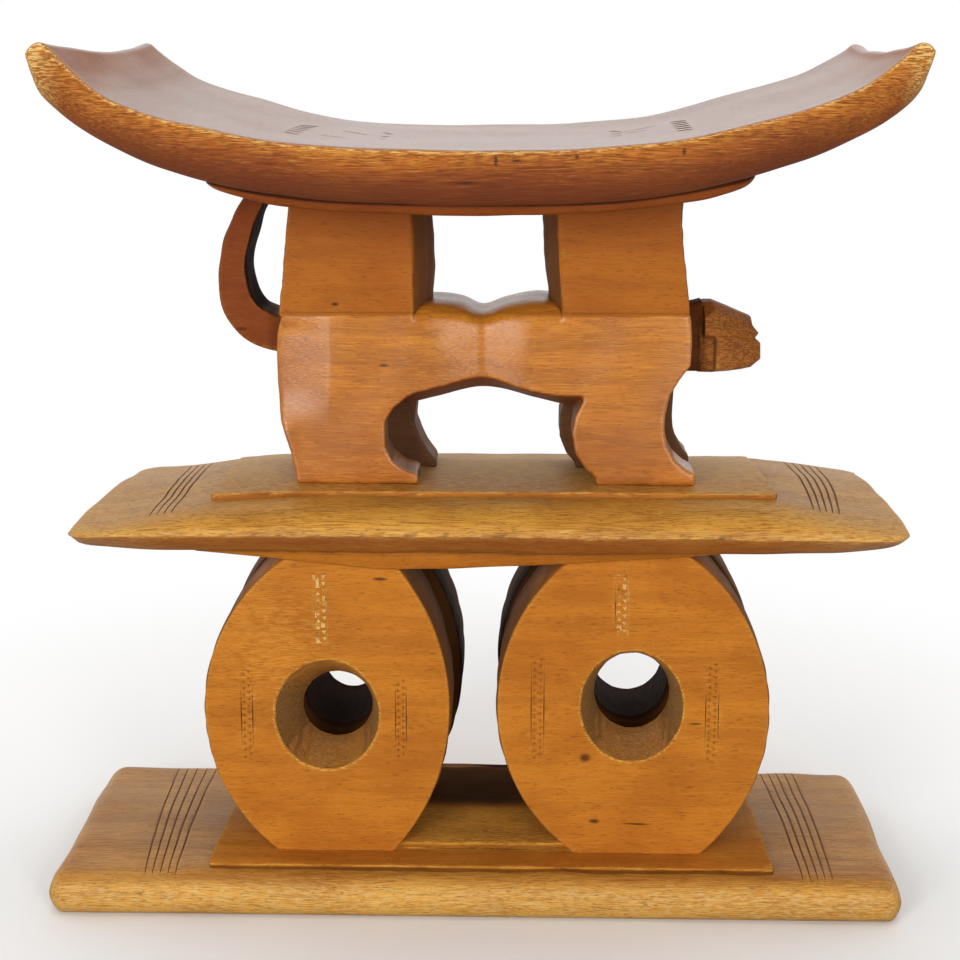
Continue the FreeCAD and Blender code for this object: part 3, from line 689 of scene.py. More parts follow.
def makeMiddleBoard():
    look = middleBoard
    top, arris, belly = heights(look["top"]), heights(look["arris"]), heights(look["belly"])
    drop, more, place, wide = look["rearDrop"]

    def upper(s, y):
        return top(s) - (drop + more * np.exp(-((s - place) / wide) ** 2)) * ease(y, 15, 76)
    board = carve("middleBoard", look, upper, lambda s, y: arris(s), lambda s, y: belly(s))
    places = placesOf(board)
    lean = np.clip((places[:, 1] + 78) / 152, 0, 1)
    places[:, 0] *= 1 - np.where(places[:, 0] < 0, 0.045, 0.02) * lean ** 1.6
    movePlaces(board, places)
    uneven(board, 0.3, 36, 11)
    left = dict(look["lines"], Lines=4, Bow=1.0 * mm)
    right = dict(look["lines"], Lines=5, Bow=2.5 * mm)
    runTree(board, incisedLines, lineGroup(left, look["leftLines"], 260))
    runTree(board, incisedLines, lineGroup(right, look["rightLines"], 260))

    def pale(p, n):
        tips = ease(np.abs(p[:, 0]), 140, 205) * ease(-p[:, 1], 20, 60)
        arrisBand = np.exp(-((p[:, 2] - 205.3) / 1.5) ** 2) * ease(-p[:, 1], 66, 77)
        return 0.3 * tips + 0.45 * arrisBand

    # painted shade: the faces turned down are redder and darker
    def blush(p, n):
        return (1 - ease(n[:, 2], -0.2, 0.15)) * 0.7

    # painted reflection of the backdrop greys the rear and the ends of the top, with dust
    def dust(p, n):
        return 0.4 * ease(p[:, 1], -20, 45) + 0.12 * ease(np.abs(p[:, 0]), 140, 200)
    # rub lightens the top as painted light, and soil darkens the under faces as painted shade
    standFor(board, boardWood, "middle_board", pale=pale, blush=blush, dust=dust, cuts=0.6, crease=0.15,
             rub=lambda p, n: 0.66 * ease(n[:, 2], 0.6, 0.9) * (0.75 + 0.25 * ease(p[:, 0], 100, 170)),
             soil=lambda p, n: 0.55 * (1 - ease(n[:, 2], -0.98, -0.7)))


topPlate = {"size": (-137, 154, -50, 45.5), "corner": 4, "levels": (220.5, 219.7, 211.5),
            "over": ((0.9, 2), (2.5, 2), (0.9, 2), (0.9, 2)), "under": ((1, 2), (1, 2), (1, 2), (1, 2))}


def makeTopPlate():
    plate = carve("middleTopPlate", topPlate)
    places = placesOf(plate)
    lean = (places[:, 1] + 50) / 98
    narrower = np.where(places[:, 0] < 0, 1.5, -5)
    places[:, 0] += narrower * ease(np.abs(places[:, 0]), 60, 140) * lean
    places[:, 2] -= 1.8 * ease(places[:, 1], 20, 46) * ease(places[:, 2], 216, 219)
    places[:, 2] -= 2 * (1 - ease(places[:, 0], -137, -100)) * ease(places[:, 2], 214, 219)
    movePlaces(plate, places)
    uneven(plate, 0.25, 30, 13)
    # the top is lightened as painted light and its rear greyed as painted reflection; its edges and the
    # zone between the legs are darkened as painted shade
    standFor(plate, plateWood, "middle_top_plate", wear=0.6,
             rub=lambda p, n: 0.9 * ease(n[:, 2], 0.6, 0.9),
             pale=lambda p, n: 0.3 * ease(n[:, 2], 0.6, 0.9),
             dust=lambda p, n: 0.8 * ease(p[:, 1], -40, 25),
             blush=lambda p, n: 0.04 + 0.3 * (1 - ease(n[:, 2], 0.1, 0.6)),
             soil=lambda p, n: 0.1 * np.exp(-((p[:, 1] - 5) / 22) ** 2) * (np.abs(p[:, 0]) < 100)
             + 0.25 * (1 - ease(n[:, 2], -0.1, 0.5)))


middleUnderPlate = {
    "size": (-149, 148, -59, 57), "corner": 7, "top": 197.5,
    "over": ((1.5, 2), (1.5, 2), (1.5, 2), (1.5, 2)), "under": ((4, 2.6), (4, 2.6), (6, 2.4), (6, 2.4)),
    "belly": [(-148, 190.5), (-110, 187.2), (-80, 184), (-42, 181), (12, 182.8), (60, 185.4),
              (110, 188.8), (148, 193)],
    "scar": ((44, -64, 193.5), (8, 14, 2.2)),     # its middle and its reach
}


def makeMiddleUnderPlate():
    look = middleUnderPlate
    low = heights(look["belly"])
    plate = carve("middleUnderPlate", look, look["top"], lambda s, y: np.minimum(low(s) + 8, 195.5),
                  lambda s, y: low(s))

    def scar(p, n):
        # something hard has struck the front of the plate and left a pale bruise
        middle, reach = look["scar"]
        away = np.abs(p - np.array(middle)) / reach
        return 0.95 * (np.linalg.norm(away, axis=1) < 1 + 0.25 * waves(p, 5, 77))
    uneven(plate, 0.15, 30, 14)
    # painted shade under the plate, and a painted shadow along its upper part under the board
    standFor(plate, discWood, "middle_under_plate", blush=0.25,
             soil=lambda p, n: 0.75 * (1 - ease(n[:, 2], -0.95, -0.5)) * ease(p[:, 1], -50, -30)
             + 0.85 * ease(p[:, 2], 190.4, 191.8), pale=scar)


seatBoard = {
    "top": [(-204, 450.2), (-199.5, 447.6), (-194, 441.8), (-183, 431), (-169, 421), (-148, 413),
            (-127, 408), (-106, 403.5), (-85, 400.5), (-63, 399), (-35, 398), (3, 397.5), (39, 397.7),
            (60, 399), (88, 401.3), (109, 405), (130, 410), (151, 415.5), (172, 423.3), (185, 430.5),
            (199, 441.8), (204, 447.3), (208, 450.2)],
    "under": [(-207.5, 429.5), (-204.5, 423), (-198.5, 416), (-189, 408), (-175, 399.3),
              (-160, 392), (-145, 386.5), (-126, 381),
              (-95, 375.5), (-60, 372), (3, 370.5), (60, 372), (95, 376), (126, 382.5), (147, 389),
              (161, 394), (175, 400.5), (190, 408.5), (202, 417.5), (208, 424.5), (211.5, 432)],
    "depth": 105,
    "faceReach": 17,
    "stroke": {"Bow": 0.4 * mm, "Wobble": 0.5 * mm},
    # how many lines and how deep, then each group's corners
    "strokes": (("combs", 6, 1.8 * mm), ("marks", 3, 1.5 * mm), ("scratches", 2, 0.8 * mm)),
    "combs": (((-97.5, -32), (-90, -33), (-96.5, 22), (-88, 34)),
              ((100, -33), (107, -43), (101.5, 31), (109, 18))),
    "marks": (((-50.5, -23), (-47, -20), (-52.2, 28), (-46.5, 18)),
              ((68, -12), (73.5, -16), (69, 26), (75, 18))),
    "scratches": (((-72.5, 20.5), (-59, 3), (-80.5, -19.5), (-67.5, -25)),
                  ((75, 11), (94, 28), (77, 0), (88, 6))),
}


def makeSeatBoard():
    look = seatBoard
    upper, lower = smoothLine(look["top"]), smoothLine(look["under"])
    half = look["depth"]

    def shape(s, y, w):
        share = np.clip(s, 0, 1)
        top = evenly(upper, share.ravel()).reshape(s.shape + (2,))
        low = evenly(lower, share.ravel()).reshape(s.shape + (2,))
        # the arris lies close under the top, and in the middle of the blunt noses at both ends
        nose = np.maximum(1 - ease(share, 0, 0.045), ease(share, 0.955, 1))
        drop = 0.1 + 0.3 * nose
        side = np.where(share < 0.5, -1, 1)
        mid = top + (low - top) * drop[..., None]
        mid[..., 0] += side * nose * 2.6
        point = mid + np.where(w[..., None] > 0, (top - mid) * w[..., None], (mid - low) * w[..., None])
        dish = 1 - (y / half) ** 2
        ends = ease(np.abs(share - 0.5), 0.3, 0.5)
        point[..., 1] -= dish * (1.2 + 3.2 * ends) * np.where(w > 0, 1, 0.6 * ends)
        point[..., 0] += -side * dish * ends * 2.5
        # the rear of the seat is a little higher, and set to the right
        out = np.abs(share - 0.5)
        lift = 3 + 3.5 * np.exp(-((out - 0.33) / 0.09) ** 2) - 4 * ease(out, 0.42, 0.5)
        point[..., 1] += (y + half) / (2 * half) * lift * np.where(w > 0, 1, 0.2)
        point[..., 0] += (y + half) / (2 * half) * 7 * np.abs(share - 0.5) * 2
        return point[..., 0], y, point[..., 1]
    # the skin is laid out along the curve in shares of its length
    seat = seatSkin("seatBoard", half, look["faceReach"], shape)
    uneven(seat, 0.3, 45, 21)
    for kind, count, depth in look["strokes"]:
        for corners in look[kind]:
            stroke = dict(look["stroke"], Lines=count, Depth=depth)
            runTree(seat, incisedLines, lineGroup(stroke, corners, 480))

    def onFace(p, n):
        return 1 - ease(n[:, 2], 0.25, 0.7)

    def pale(p, n):
        tip = ease(np.abs(p[:, 0] - 2), 192, 209)
        arris = np.exp(-((n[:, 2] - 0.45) / 0.25) ** 2) * (np.abs(p[:, 1]) > 99)
        return onFace(p, n) * tip * 0.75 + 0.55 * arris

    def rub(p, n):
        # hands have worn a golden band under the arris, and both noses
        band = ease(n[:, 2], -0.25, 0.15) * onFace(p, n)
        nose = ease(np.abs(p[:, 0] - 2), 120, 205) * onFace(p, n) * ease(n[:, 2], -0.75, -0.1)
        return 0.6 * band * (1 - 0.5 * ease(np.abs(p[:, 0] - 2), 120, 200)) + 0.4 * nose

    # painted shade: the faces turned down are redder and darker
    def blush(p, n):
        down = 1 - ease(n[:, 2], -0.55, 0.1)
        return down * 0.85 * (1 - 0.7 * ease(np.abs(p[:, 0]), 150, 205))
    # dust greys the top, together with a painted reflection of the backdrop
    standFor(seat, seatWood, "seat_board", pale=pale, blush=blush, rub=rub, sharp=60, cuts=1.0, wear=0.5,
             crease=0.1, dust=0.75)


seatUnderPlate = {
    "size": (-131, 135, -83, 82), "corner": 14,
    "over": ((4, 2), (4, 2), (3, 2), (3, 2)), "under": ((4, 2.2), (4, 2.2), (8, 2), (8, 2)),
    # where the seat meets it, and its own belly
    "groove": [(-134, 383), (-126, 381), (-95, 375.5), (-60, 372.5), (3, 371.5), (60, 372.5),
               (95, 376.5), (126, 382.5), (134, 385)],
    "belly": [(-134, 380), (-128, 377.5), (-110, 372.5), (-89, 368.5), (-60, 366.2), (2, 364.8),
              (60, 366.4), (103, 371.5), (120, 375.5), (134, 380)],
}


def makeSeatUnderPlate():
    look = seatUnderPlate
    groove, low = heights(look["groove"]), heights(look["belly"])
    plate = carve("seatUnderPlate", look, lambda s, y: groove(s) + 1.5, lambda s, y: groove(s) - 1.5,
                  lambda s, y: low(s))
    uneven(plate, 0.2, 30, 23)
    # painted shade under the plate, and a painted shadow line where the seat meets it
    standFor(plate, emberWood, "seat_under_plate", wear=0.3, blush=0.6,
             soil=lambda p, n: 0.6 * (1 - ease(n[:, 2], -0.98, -0.6)) * ease(p[:, 1], -75, -45)
             + 0.85 * ease(p[:, 2] - groove(p[:, 0]), -2.6, -1.4))


def seatSkin(name, half, faceReach, shape):
    # pillow works in mm, so shares along the curve are stretched to it and back
    length = 470.0
    return pillow(name, (0, length, -half, half), ((2.2, 2.2), (2.2, 2.2), (9, 2), (9, 2)),
                  ((faceReach, 2.1), (faceReach, 2.1), (9, 2), (9, 2)), 3.5,
                  lambda s, y, w: shape(s / length, y, w), 3.0)


# the pierced discs
discLook = {
    "left": {"foot": (-105, -44), "belly": ((-142.5, 106), (-14, 108)), "top": (-99, -44, 185),
             "hole": (-78.5, 100.5, 27.5, 30.5), "gap": (-77, 90.5, 19, 18.5),
             "rearHole": (-74.5, 97, 16.5, 18.5), "rearBelly": ((-142.5, 106), (-10, 108))},
    "right": {"foot": (52, 118), "belly": ((11, 112), (152.5, 110)), "top": (53, 108, 189),
              "hole": (81, 106.5, 27, 30.5), "gap": (83.5, 99.5, 20.5, 21.5),
             "rearHole": (84, 100, 20.5, 22), "rearBelly": ((11, 112), (152.5, 110))},
    "face": 52, "gapFace": 8, "footLevel": 24,      # mm from the middle along Y, and the foot's height
    "reach": (64, 78),                              # about from the bore to the outer edge
    "flats": 14,                                    # that the knife left round the bore
    "nickPitch": 3.3, "nickDepth": 0.65, "nickSize": 0.34,      # the size as a share of the ladder's width
    "paintedSheen": ((-104, 138), (34, 38)),               # a painted highlight of the left softbox lightens the left disc up by its left shoulder
    # each ladder's middle along X and Z, its length and its width
    "ladders": {
        "left": ((-80.6, 158.3, 33.5, 5), (-120.4, 100.4, 45.5, 4.6), (-39.5, 98.5, 40, 4.4)),
        "right": ((75, 163, 32, 5), (32, 104.7, 52, 5.2), (122.9, 104, 50, 5.2))},
}


def arcThrough(start, middle, end, count=60):
    # a circle's arc through three points
    (ax, az), (bx, bz), (cx, cz) = start, middle, end
    d = 2 * (ax * (bz - cz) + bx * (cz - az) + cx * (az - bz))
    a2, b2, c2 = ax ** 2 + az ** 2, bx ** 2 + bz ** 2, cx ** 2 + cz ** 2
    ux = (a2 * (bz - cz) + b2 * (cz - az) + c2 * (az - bz)) / d
    uz = (a2 * (cx - bx) + b2 * (ax - cx) + c2 * (bx - ax)) / d
    a, b, c = [math.atan2(z - uz, x - ux) for x, z in (start, middle, end)]
    turn = 2 * math.pi
    forward = (c - a) % turn
    sweep = forward if (b - a) % turn < forward else forward - turn
    angles = a + np.linspace(0, 1, count) * sweep
    radius = math.hypot(ax - ux, az - uz)
    return np.stack([ux + radius * np.cos(angles), uz + radius * np.sin(angles)], 1)


def reachOf(outline, centre, angles):
    # how far a closed outline lies from a centre in each direction
    away = outline - np.array(centre)
    bearing = np.unwrap(np.arctan2(away[:, 1], away[:, 0]))
    if bearing[-1] < bearing[0]:
        bearing, away = bearing[::-1], away[::-1]
    reach = np.linalg.norm(away, axis=1)
    turn = 2 * math.pi
    return np.interp((angles - bearing[0]) % turn + bearing[0], np.append(bearing, bearing[0] + turn),
                     np.append(reach, reach[0]))


def makeDisc(name, node, side, rear, seed):
    look, shape = discLook, discLook[side]
    angles = np.linspace(0, 2 * math.pi, 300, endpoint=False)
    way = np.stack([np.cos(angles), np.sin(angles)], 1)
    (a, b), floor, (topLeft, topRight, topLevel) = shape["foot"], look["footLevel"], shape["top"]
    belly, hole = (shape["rearBelly"], shape["rearHole"]) if rear else (shape["belly"], shape["hole"])
    outline = np.vstack([
        arcThrough((a, floor), belly[0], (topLeft, topLevel)),
        evenly(np.array([(topLeft, topLevel), (topRight, topLevel)], float), np.linspace(0.02, 0.98, 20)),
        arcThrough((topRight, topLevel), belly[1], (b, floor)),
        evenly(np.array([(b, floor), (a, floor)], float), np.linspace(0.02, 0.98, 20))])
    x, z, wide, high = hole
    x2, z2, wide2, high2 = shape["gap"]
    outer = np.array((x, z)) + way * reachOf(outline, (x, z), angles)[:, None]
    # the bore was cut with a knife, in flats
    flat = math.pi / look["flats"]
    knife = 1 - 0.3 * (1 - math.cos(flat) / np.cos((angles + seed) % (2 * flat) - flat))

    def boreShape(mix):
        # centre and radii, from 0 at the face to 1 at the gap between the discs
        return (np.array((x, z)) * (1 - mix) + np.array((x2, z2)) * mix,
                np.array((wide, high)) * (1 - mix) + np.array((wide2, high2)) * mix)
    face, gapFace = look["face"], look["gapFace"]
    thick = face - gapFace
    rings = []

    def add(share, offset, y):
        centre, radii = boreShape(((face - y) / thick) ** 0.85)
        bore = centre + way * radii * knife[:, None]
        ring = bore * (1 - share) + outer * share + way * offset
        rings.append(np.column_stack([ring, y + 0 * angles])[:, [0, 2, 1]])
    for offset, y in ((0, face - 1.2), (0.25, face - 0.5), (0.7, face - 0.15), (1.3, face)):
        add(0, offset, y)
    for share in np.linspace(0.06, 0.95, 18):
        add(share, 0, face)
    for offset, y in ((-1.2, face), (-0.6, face - 0.15), (-0.2, face - 0.5), (0, face - 1.2)):
        add(1, offset, y)
    for share in np.linspace(0.05, 0.95, 18):
        add(1, 0.5 * math.sin(share * math.pi), face - thick * share)
    for offset, y in ((0, gapFace + 1.2), (-0.2, gapFace + 0.5), (-0.7, gapFace + 0.1), (-1.3, gapFace)):
        add(1, offset, y)
    for share in np.linspace(0.95, 0.06, 18):
        add(share, 0, gapFace)
    for offset, y in ((1.2, gapFace), (0.5, gapFace + 0.2), (0, gapFace + 1)):
        add(0, offset, y)
    for share in np.linspace(0.05, 0.95, 16):
        add(0, 0, gapFace + thick * share)
    rings = np.array(rings)
    if not rear:
        rings[..., 1] *= -1
    disc = loft(name, rings, round=True)
    # the ladders are punched while the face is still flat
    facing = 1 if rear else -1
    turn = (-math.pi / 2, math.pi, 0.0) if rear else (math.pi / 2, 0.0, 0.0)
    for i, (lx, lz, length, width) in enumerate(look["ladders"][side]):
        runTree(disc, punchedRows, {
            "Nicks": int(length / look["nickPitch"]), "Length": length * mm, "Width": width * mm,
            "Nick": width * look["nickSize"] * mm, "Depth": look["nickDepth"] * mm,
            "Turn": turn, "Seed": seed * 10 + i,
            "Middle": (lx * mm, facing * (face + 0.08) * mm, lz * mm)})
    places = placesOf(disc)

    def rimShare(p):
        # about 1 on the disc's outer edge
        return np.linalg.norm((p[:, [0, 2]] - (x, z)) / look["reach"], axis=1)
    rim = rimShare(places)
    # gouge marks run across the rim and the bore
    radial = places[:, [0, 2]] - (x, z)
    radial /= np.linalg.norm(radial, axis=1)[:, None]
    bearing = np.arctan2(radial[:, 1], radial[:, 0])
    inside = (np.abs(places[:, 1]) < face - 2) & (np.abs(places[:, 1]) > gapFace + 2)
    scallop = np.abs(np.sin(bearing * 13 + waves(places, 60, seed + 40))) * 0.45 * inside * (rim > 0.8)
    scallop += np.abs(np.sin(bearing * 11 + waves(places, 18, seed + 60))) * 0.5 * inside * (rim <= 0.8)
    places[:, [0, 2]] += radial * scallop[:, None]
    movePlaces(disc, places)
    uneven(disc, 0.16, 45, seed)

    def holeShare(p):
        # 1 on the wall of the bore, which narrows towards the gap between the discs
        centre, radii = boreShape((np.clip((face - np.abs(p[:, 1])) / thick, 0, 1) ** 0.85)[:, None])
        return np.linalg.norm((p[:, [0, 2]] - centre) / radii, axis=1)

    # painted shade: faces turned to the gap, the middle, the rims beside the gap and the bores, darkest in
    # the rear discs
    def soil(p, n):
        inward = ease(n[:, 1] * -facing, 0.3, 0.8)
        deep = 1 - ease(np.abs(p[:, 1]), 10, 30)
        bore = holeShare(p) < 1.08
        gapSide = ease((p[:, 0] - x) * (1 if side == "left" else -1), 20, 50)
        rim = ease(rimShare(p), 0.8, 0.95) * (np.abs(n[:, 1]) < 0.6)
        behind = 0.7 * rear * rim * gapSide * (1 - ease(p[:, 1], 40, 52))
        inner = 1 - ease(np.abs(p[:, 1]), 8, 24)
        return inward * 0.9 + 0.5 * deep * rim + behind + (1.0 * bore if rear else 0.25 * bore * inner)

    def pale(p, n):
        wall = (holeShare(p) < 1.04) * (np.abs(p[:, 1]) < face - 1) * (0.0 if rear else 1.0)
        return wall * (0.3 - 0.1 * ease(n[:, 2], 0, 0.8))

    def rub(p, n):
        near = (holeShare(p) < 1.035) * (np.abs(p[:, 1]) > face - 1.3)
        low = (holeShare(p) < 1.04) * ease(n[:, 2], 0.5, 0.95) * (0.0 if rear else 0.7)
        middle, reach = look["paintedSheen"]
        away = np.linalg.norm((p[:, [0, 2]] - middle) / reach, axis=1)
        # painted highlight on the left front disc's face
        paintedSheen = 0.35 * np.exp(-away ** 2) * (n[:, 1] * facing > 0.9) * (side == "left") * (not rear)
        return np.maximum(np.maximum(0.9 * near, low), paintedSheen)

    def residue(p):
        away = np.abs(p - np.array((ladder[0], facing * face, ladder[1])))
        near = (away[:, 0] < ladder[3] / 2 + 1.4) & (away[:, 2] < ladder[2] / 2 + 2) & (away[:, 1] < 1.4)
        return near * np.clip(0.42 + 0.35 * waves(p, 5, seed + 70), 0, 0.6)
    ladder = look["ladders"][side][0]
    standFor(disc, discWood, node, soil=soil, pale=pale, rub=rub, cuts=0.3, residue=residue, sharp=40,
             wear=0.5, crease=0.22)


# pillars, tail, head and neck
def roundedRing(corners, radius, perSide=9, perCorner=4):
    # a closed ring along a polygon with small rounded corners
    corners = np.array(corners, float)
    ring = []
    for i, corner in enumerate(corners):
        before, after = corners[i - 1], corners[(i + 1) % len(corners)]
        inward = (before - corner) / np.linalg.norm(before - corner)
        onward = (after - corner) / np.linalg.norm(after - corner)
        start, stop = corner + inward * radius, corner + onward * radius
        for t in np.linspace(0, 1, perCorner):
            ring.append((1 - t) ** 2 * start + 2 * t * (1 - t) * corner + t * t * stop)
        following = after - onward * radius
        for t in np.linspace(0, 1, perSide + 2)[1:-1]:
            ring.append(stop + (following - stop) * t)
    return np.array(ring)


# each face's place along X at a few heights, and how far the inner face bulges
pillars = {
    "left": {"outer": [(307, -101.5), (327, -99.5), (350, -97), (374, -94.5)],
             "inner": [(307, -32.8), (340, -33.5), (374, -34.3)], "bulge": 9.5},
    "right": {"outer": [(307, 108), (316, 107.5), (340, 104.5), (356, 103.2), (374, 103.5)],
              "inner": [(307, 44.5), (330, 43.2), (361, 41), (374, 40)], "bulge": -7.5},
}


def makePillar(name, node, side):
    look = pillars[side]
    outer, inner = heights(look["outer"]), heights(look["inner"])
    levels = np.concatenate([(308.8, 310.3, 310.8, 311.5), np.linspace(313, 373.5, 28)])
    rings = []
    for level in levels:
        a, b = float(outer(level)), float(inner(level))
        ring = roundedRing([(a, -34), (b, -34), (b, 34), (a, 34)], 1.0, 26)
        inwards = (ring[:, 0] - a) / (b - a)
        belly = 1 - (ring[:, 1] / 34) ** 2
        swell = 0.75 + 0.25 * math.sin((level - 305) / 70 * math.pi)
        ring[:, 0] += look["bulge"] * swell * belly * ease(inwards, 0.1, 1)
        ring[:, 0] -= np.sign(look["bulge"]) * 1.2 * belly * (1 - inwards)
        rings.append(np.column_stack([ring, np.full(len(ring), level)]))
    post = loft(name, rings)
    places, normals = placesOf(post), normalsOf(post)
    flank = ease(np.abs(normals[:, 0]), 0.75, 0.95)
    gouge = np.abs(np.sin(places[:, 1] / 7.5 * math.pi / 2 + 0.6 * waves(places, 40, 31)))
    cut = flank * (0.9 * gouge + 0.3 * waves(places, 9, 32))
    movePlaces(post, places + normals * cut[:, None] * 0.8)
    standFor(post, discWood, node, sharp=42, wear=0.3,
             blush=lambda p, n: 0.4 + 0.35 * ease(p[:, 2], 325, 368),
             soil=lambda p, n: 0.05 * ease(np.abs(n[:, 0]), 0.5, 0.9)
             + 0.35 * np.exp(-((p[:, 2] - 310.8) / 0.4) ** 2))


tailLook = {
    "outer": [(-117, 376), (-121.5, 368), (-127, 359), (-131.5, 348), (-134.5, 335), (-135.5, 325),
              (-135, 315), (-132, 305.5), (-126, 297.5), (-117.5, 291), (-109, 288), (-101, 287)],
    "inner": [(-105.5, 376), (-109.5, 367), (-114.5, 358), (-117.5, 349), (-120.5, 338), (-121, 328),
              (-119, 318), (-114.5, 311), (-109.5, 308), (-106, 306.5), (-103, 306), (-100, 306)],
    "half": 17,      # of its width, at the haunch
}


def makeTail():
    look = tailLook
    shares = np.linspace(0, 1, 64)
    outer, inner = evenly(smoothLine(look["outer"]), shares), evenly(smoothLine(look["inner"]), shares)
    rings = []
    for share, a, b in zip(shares, outer, inner):
        half = look["half"] - 1.5 * share
        thick = np.linalg.norm(b - a)
        ring = roundedRing([(0, -half), (thick, -half), (thick, half), (0, half)], 1.4, 12)
        along = ring[:, :1] / thick
        spot = a * (1 - along) + b * along
        rings.append(np.column_stack([spot[:, 0], ring[:, 1], spot[:, 1]]))
    tail = loft("animalTail", rings)
    uneven(tail, 0.3, 16, 33)

    # painted shade on the side turned to the haunch and at the top under the seat
    def soil(p, n):
        inwards = ease(n[:, 0], 0.25, 0.7)
        return 0.92 * inwards + 0.35 * ease(p[:, 2], 352, 372) + 0.08
    standFor(tail, emberWood, "animal_tail", soil=soil, sharp=42, wear=0.4,
             blush=lambda p, n: 0.6 + 0.3 * ease(p[:, 2], 330, 370))


headLook = {
    # x, then crown, brow, lip, mouth, lower lip, jaw and chin as (half width, height)
    "sections": (
        (115, (5.5, 312), (12.5, 304.5), (13.5, 298), (13.5, 296.6), (13.5, 295), (12.5, 279),
         (9, 276.4)),
        (117.2, (6, 312.8), (13, 305.3), (14, 298), (13.7, 296.8), (13.7, 295.4), (13, 278.7),
         (9.5, 276.3)),
        (118.2, (6, 313.2), (16.8, 305.8), (18.6, 298), (17.6, 296.8), (14.4, 295.4),
         (13.6, 278.7), (9.5, 276.3)),
        (123, (6.2, 313.2), (14.2, 309.4), (19.2, 297.9), (18.2, 296.6), (15, 295), (14.2, 278.4),
         (10, 276.3)),
        (124.4, (6.2, 312.6), (14, 309.2), (19.3, 297.7), (18.2, 296.4), (18.8, 295),
         (17.6, 278.5), (10, 276.5)),
        (131, (5.5, 310), (13, 306.4), (18.4, 297), (17.4, 295.8), (17.8, 294.5), (16.8, 279), (10, 277)),
        (137.5, (4.8, 307.2), (11.5, 304), (17, 296.4), (15.9, 295.1), (16.5, 293.8),
         (15.6, 279.8), (9.5, 277.8)),
        (143.5, (4, 304.8), (9.5, 301.9), (15, 295.9), (13.5, 294.6), (14.6, 293.2), (14, 280.8),
         (8.5, 278.9)),
        (143.5, (3.5, 304), (8.5, 300.8), (11.5, 297.6), (11, 295), (12, 292.4), (11.5, 284),
         (7.5, 280.5)),
    ),
    "muzzle": (-0.2, 0.4, 3.4, 1.6, 4.4, 4.7, 1.5),     # how far the last section's points step forward
}


def makeHead():
    look = headLook
    rings = []
    for i, (x, *points) in enumerate(look["sections"], 1):
        steps = look["muzzle"] if i == len(look["sections"]) else (0,) * len(points)
        right = [(x + step, -half, level) for step, (half, level) in zip(steps, points)]
        rings.append(right + [(px, -py, pz) for px, py, pz in right[::-1]])
    head = loft("animalHead", rings)
    bevel = head.modifiers.new("softEdges", "BEVEL")
    bevel.width = 0.4 * mm
    bevel.segments = 2
    bevel.limit_method = "ANGLE"
    bevel.angle_limit = math.radians(9)
    # flat facets in small faces, so that the wear keeps to the arrises
    finer = head.modifiers.new("finer", "SUBSURF")
    finer.subdivision_type = "SIMPLE"
    finer.levels = 3
    bake(head)
    # painted shade at the back of the head, next to the neck
    standFor(head, emberWood, "animal_head", sharp=12, wear=0.9, rub=0.22,
             soil=lambda p, n: 0.75 * (1 - ease(p[:, 0], 115.5, 117.5)))


def makeNeck():
    neck = []
    for x in (106, 109, 112, 115, 117):
        top, low = 311 + 0.25 * (x - 106), 277
        ring = roundedRing([(-12.5, low), (12.5, low), (13, 303), (7, top), (-7, top), (-13, 303)], 2, 6)
        neck.append(np.column_stack([np.full(len(ring), x), ring]))
    neck = loft("animalNeck", neck)
    # the whole neck is darkened as painted shade
    standFor(neck, emberWood, "animal_neck", wear=0, soil=0.6)


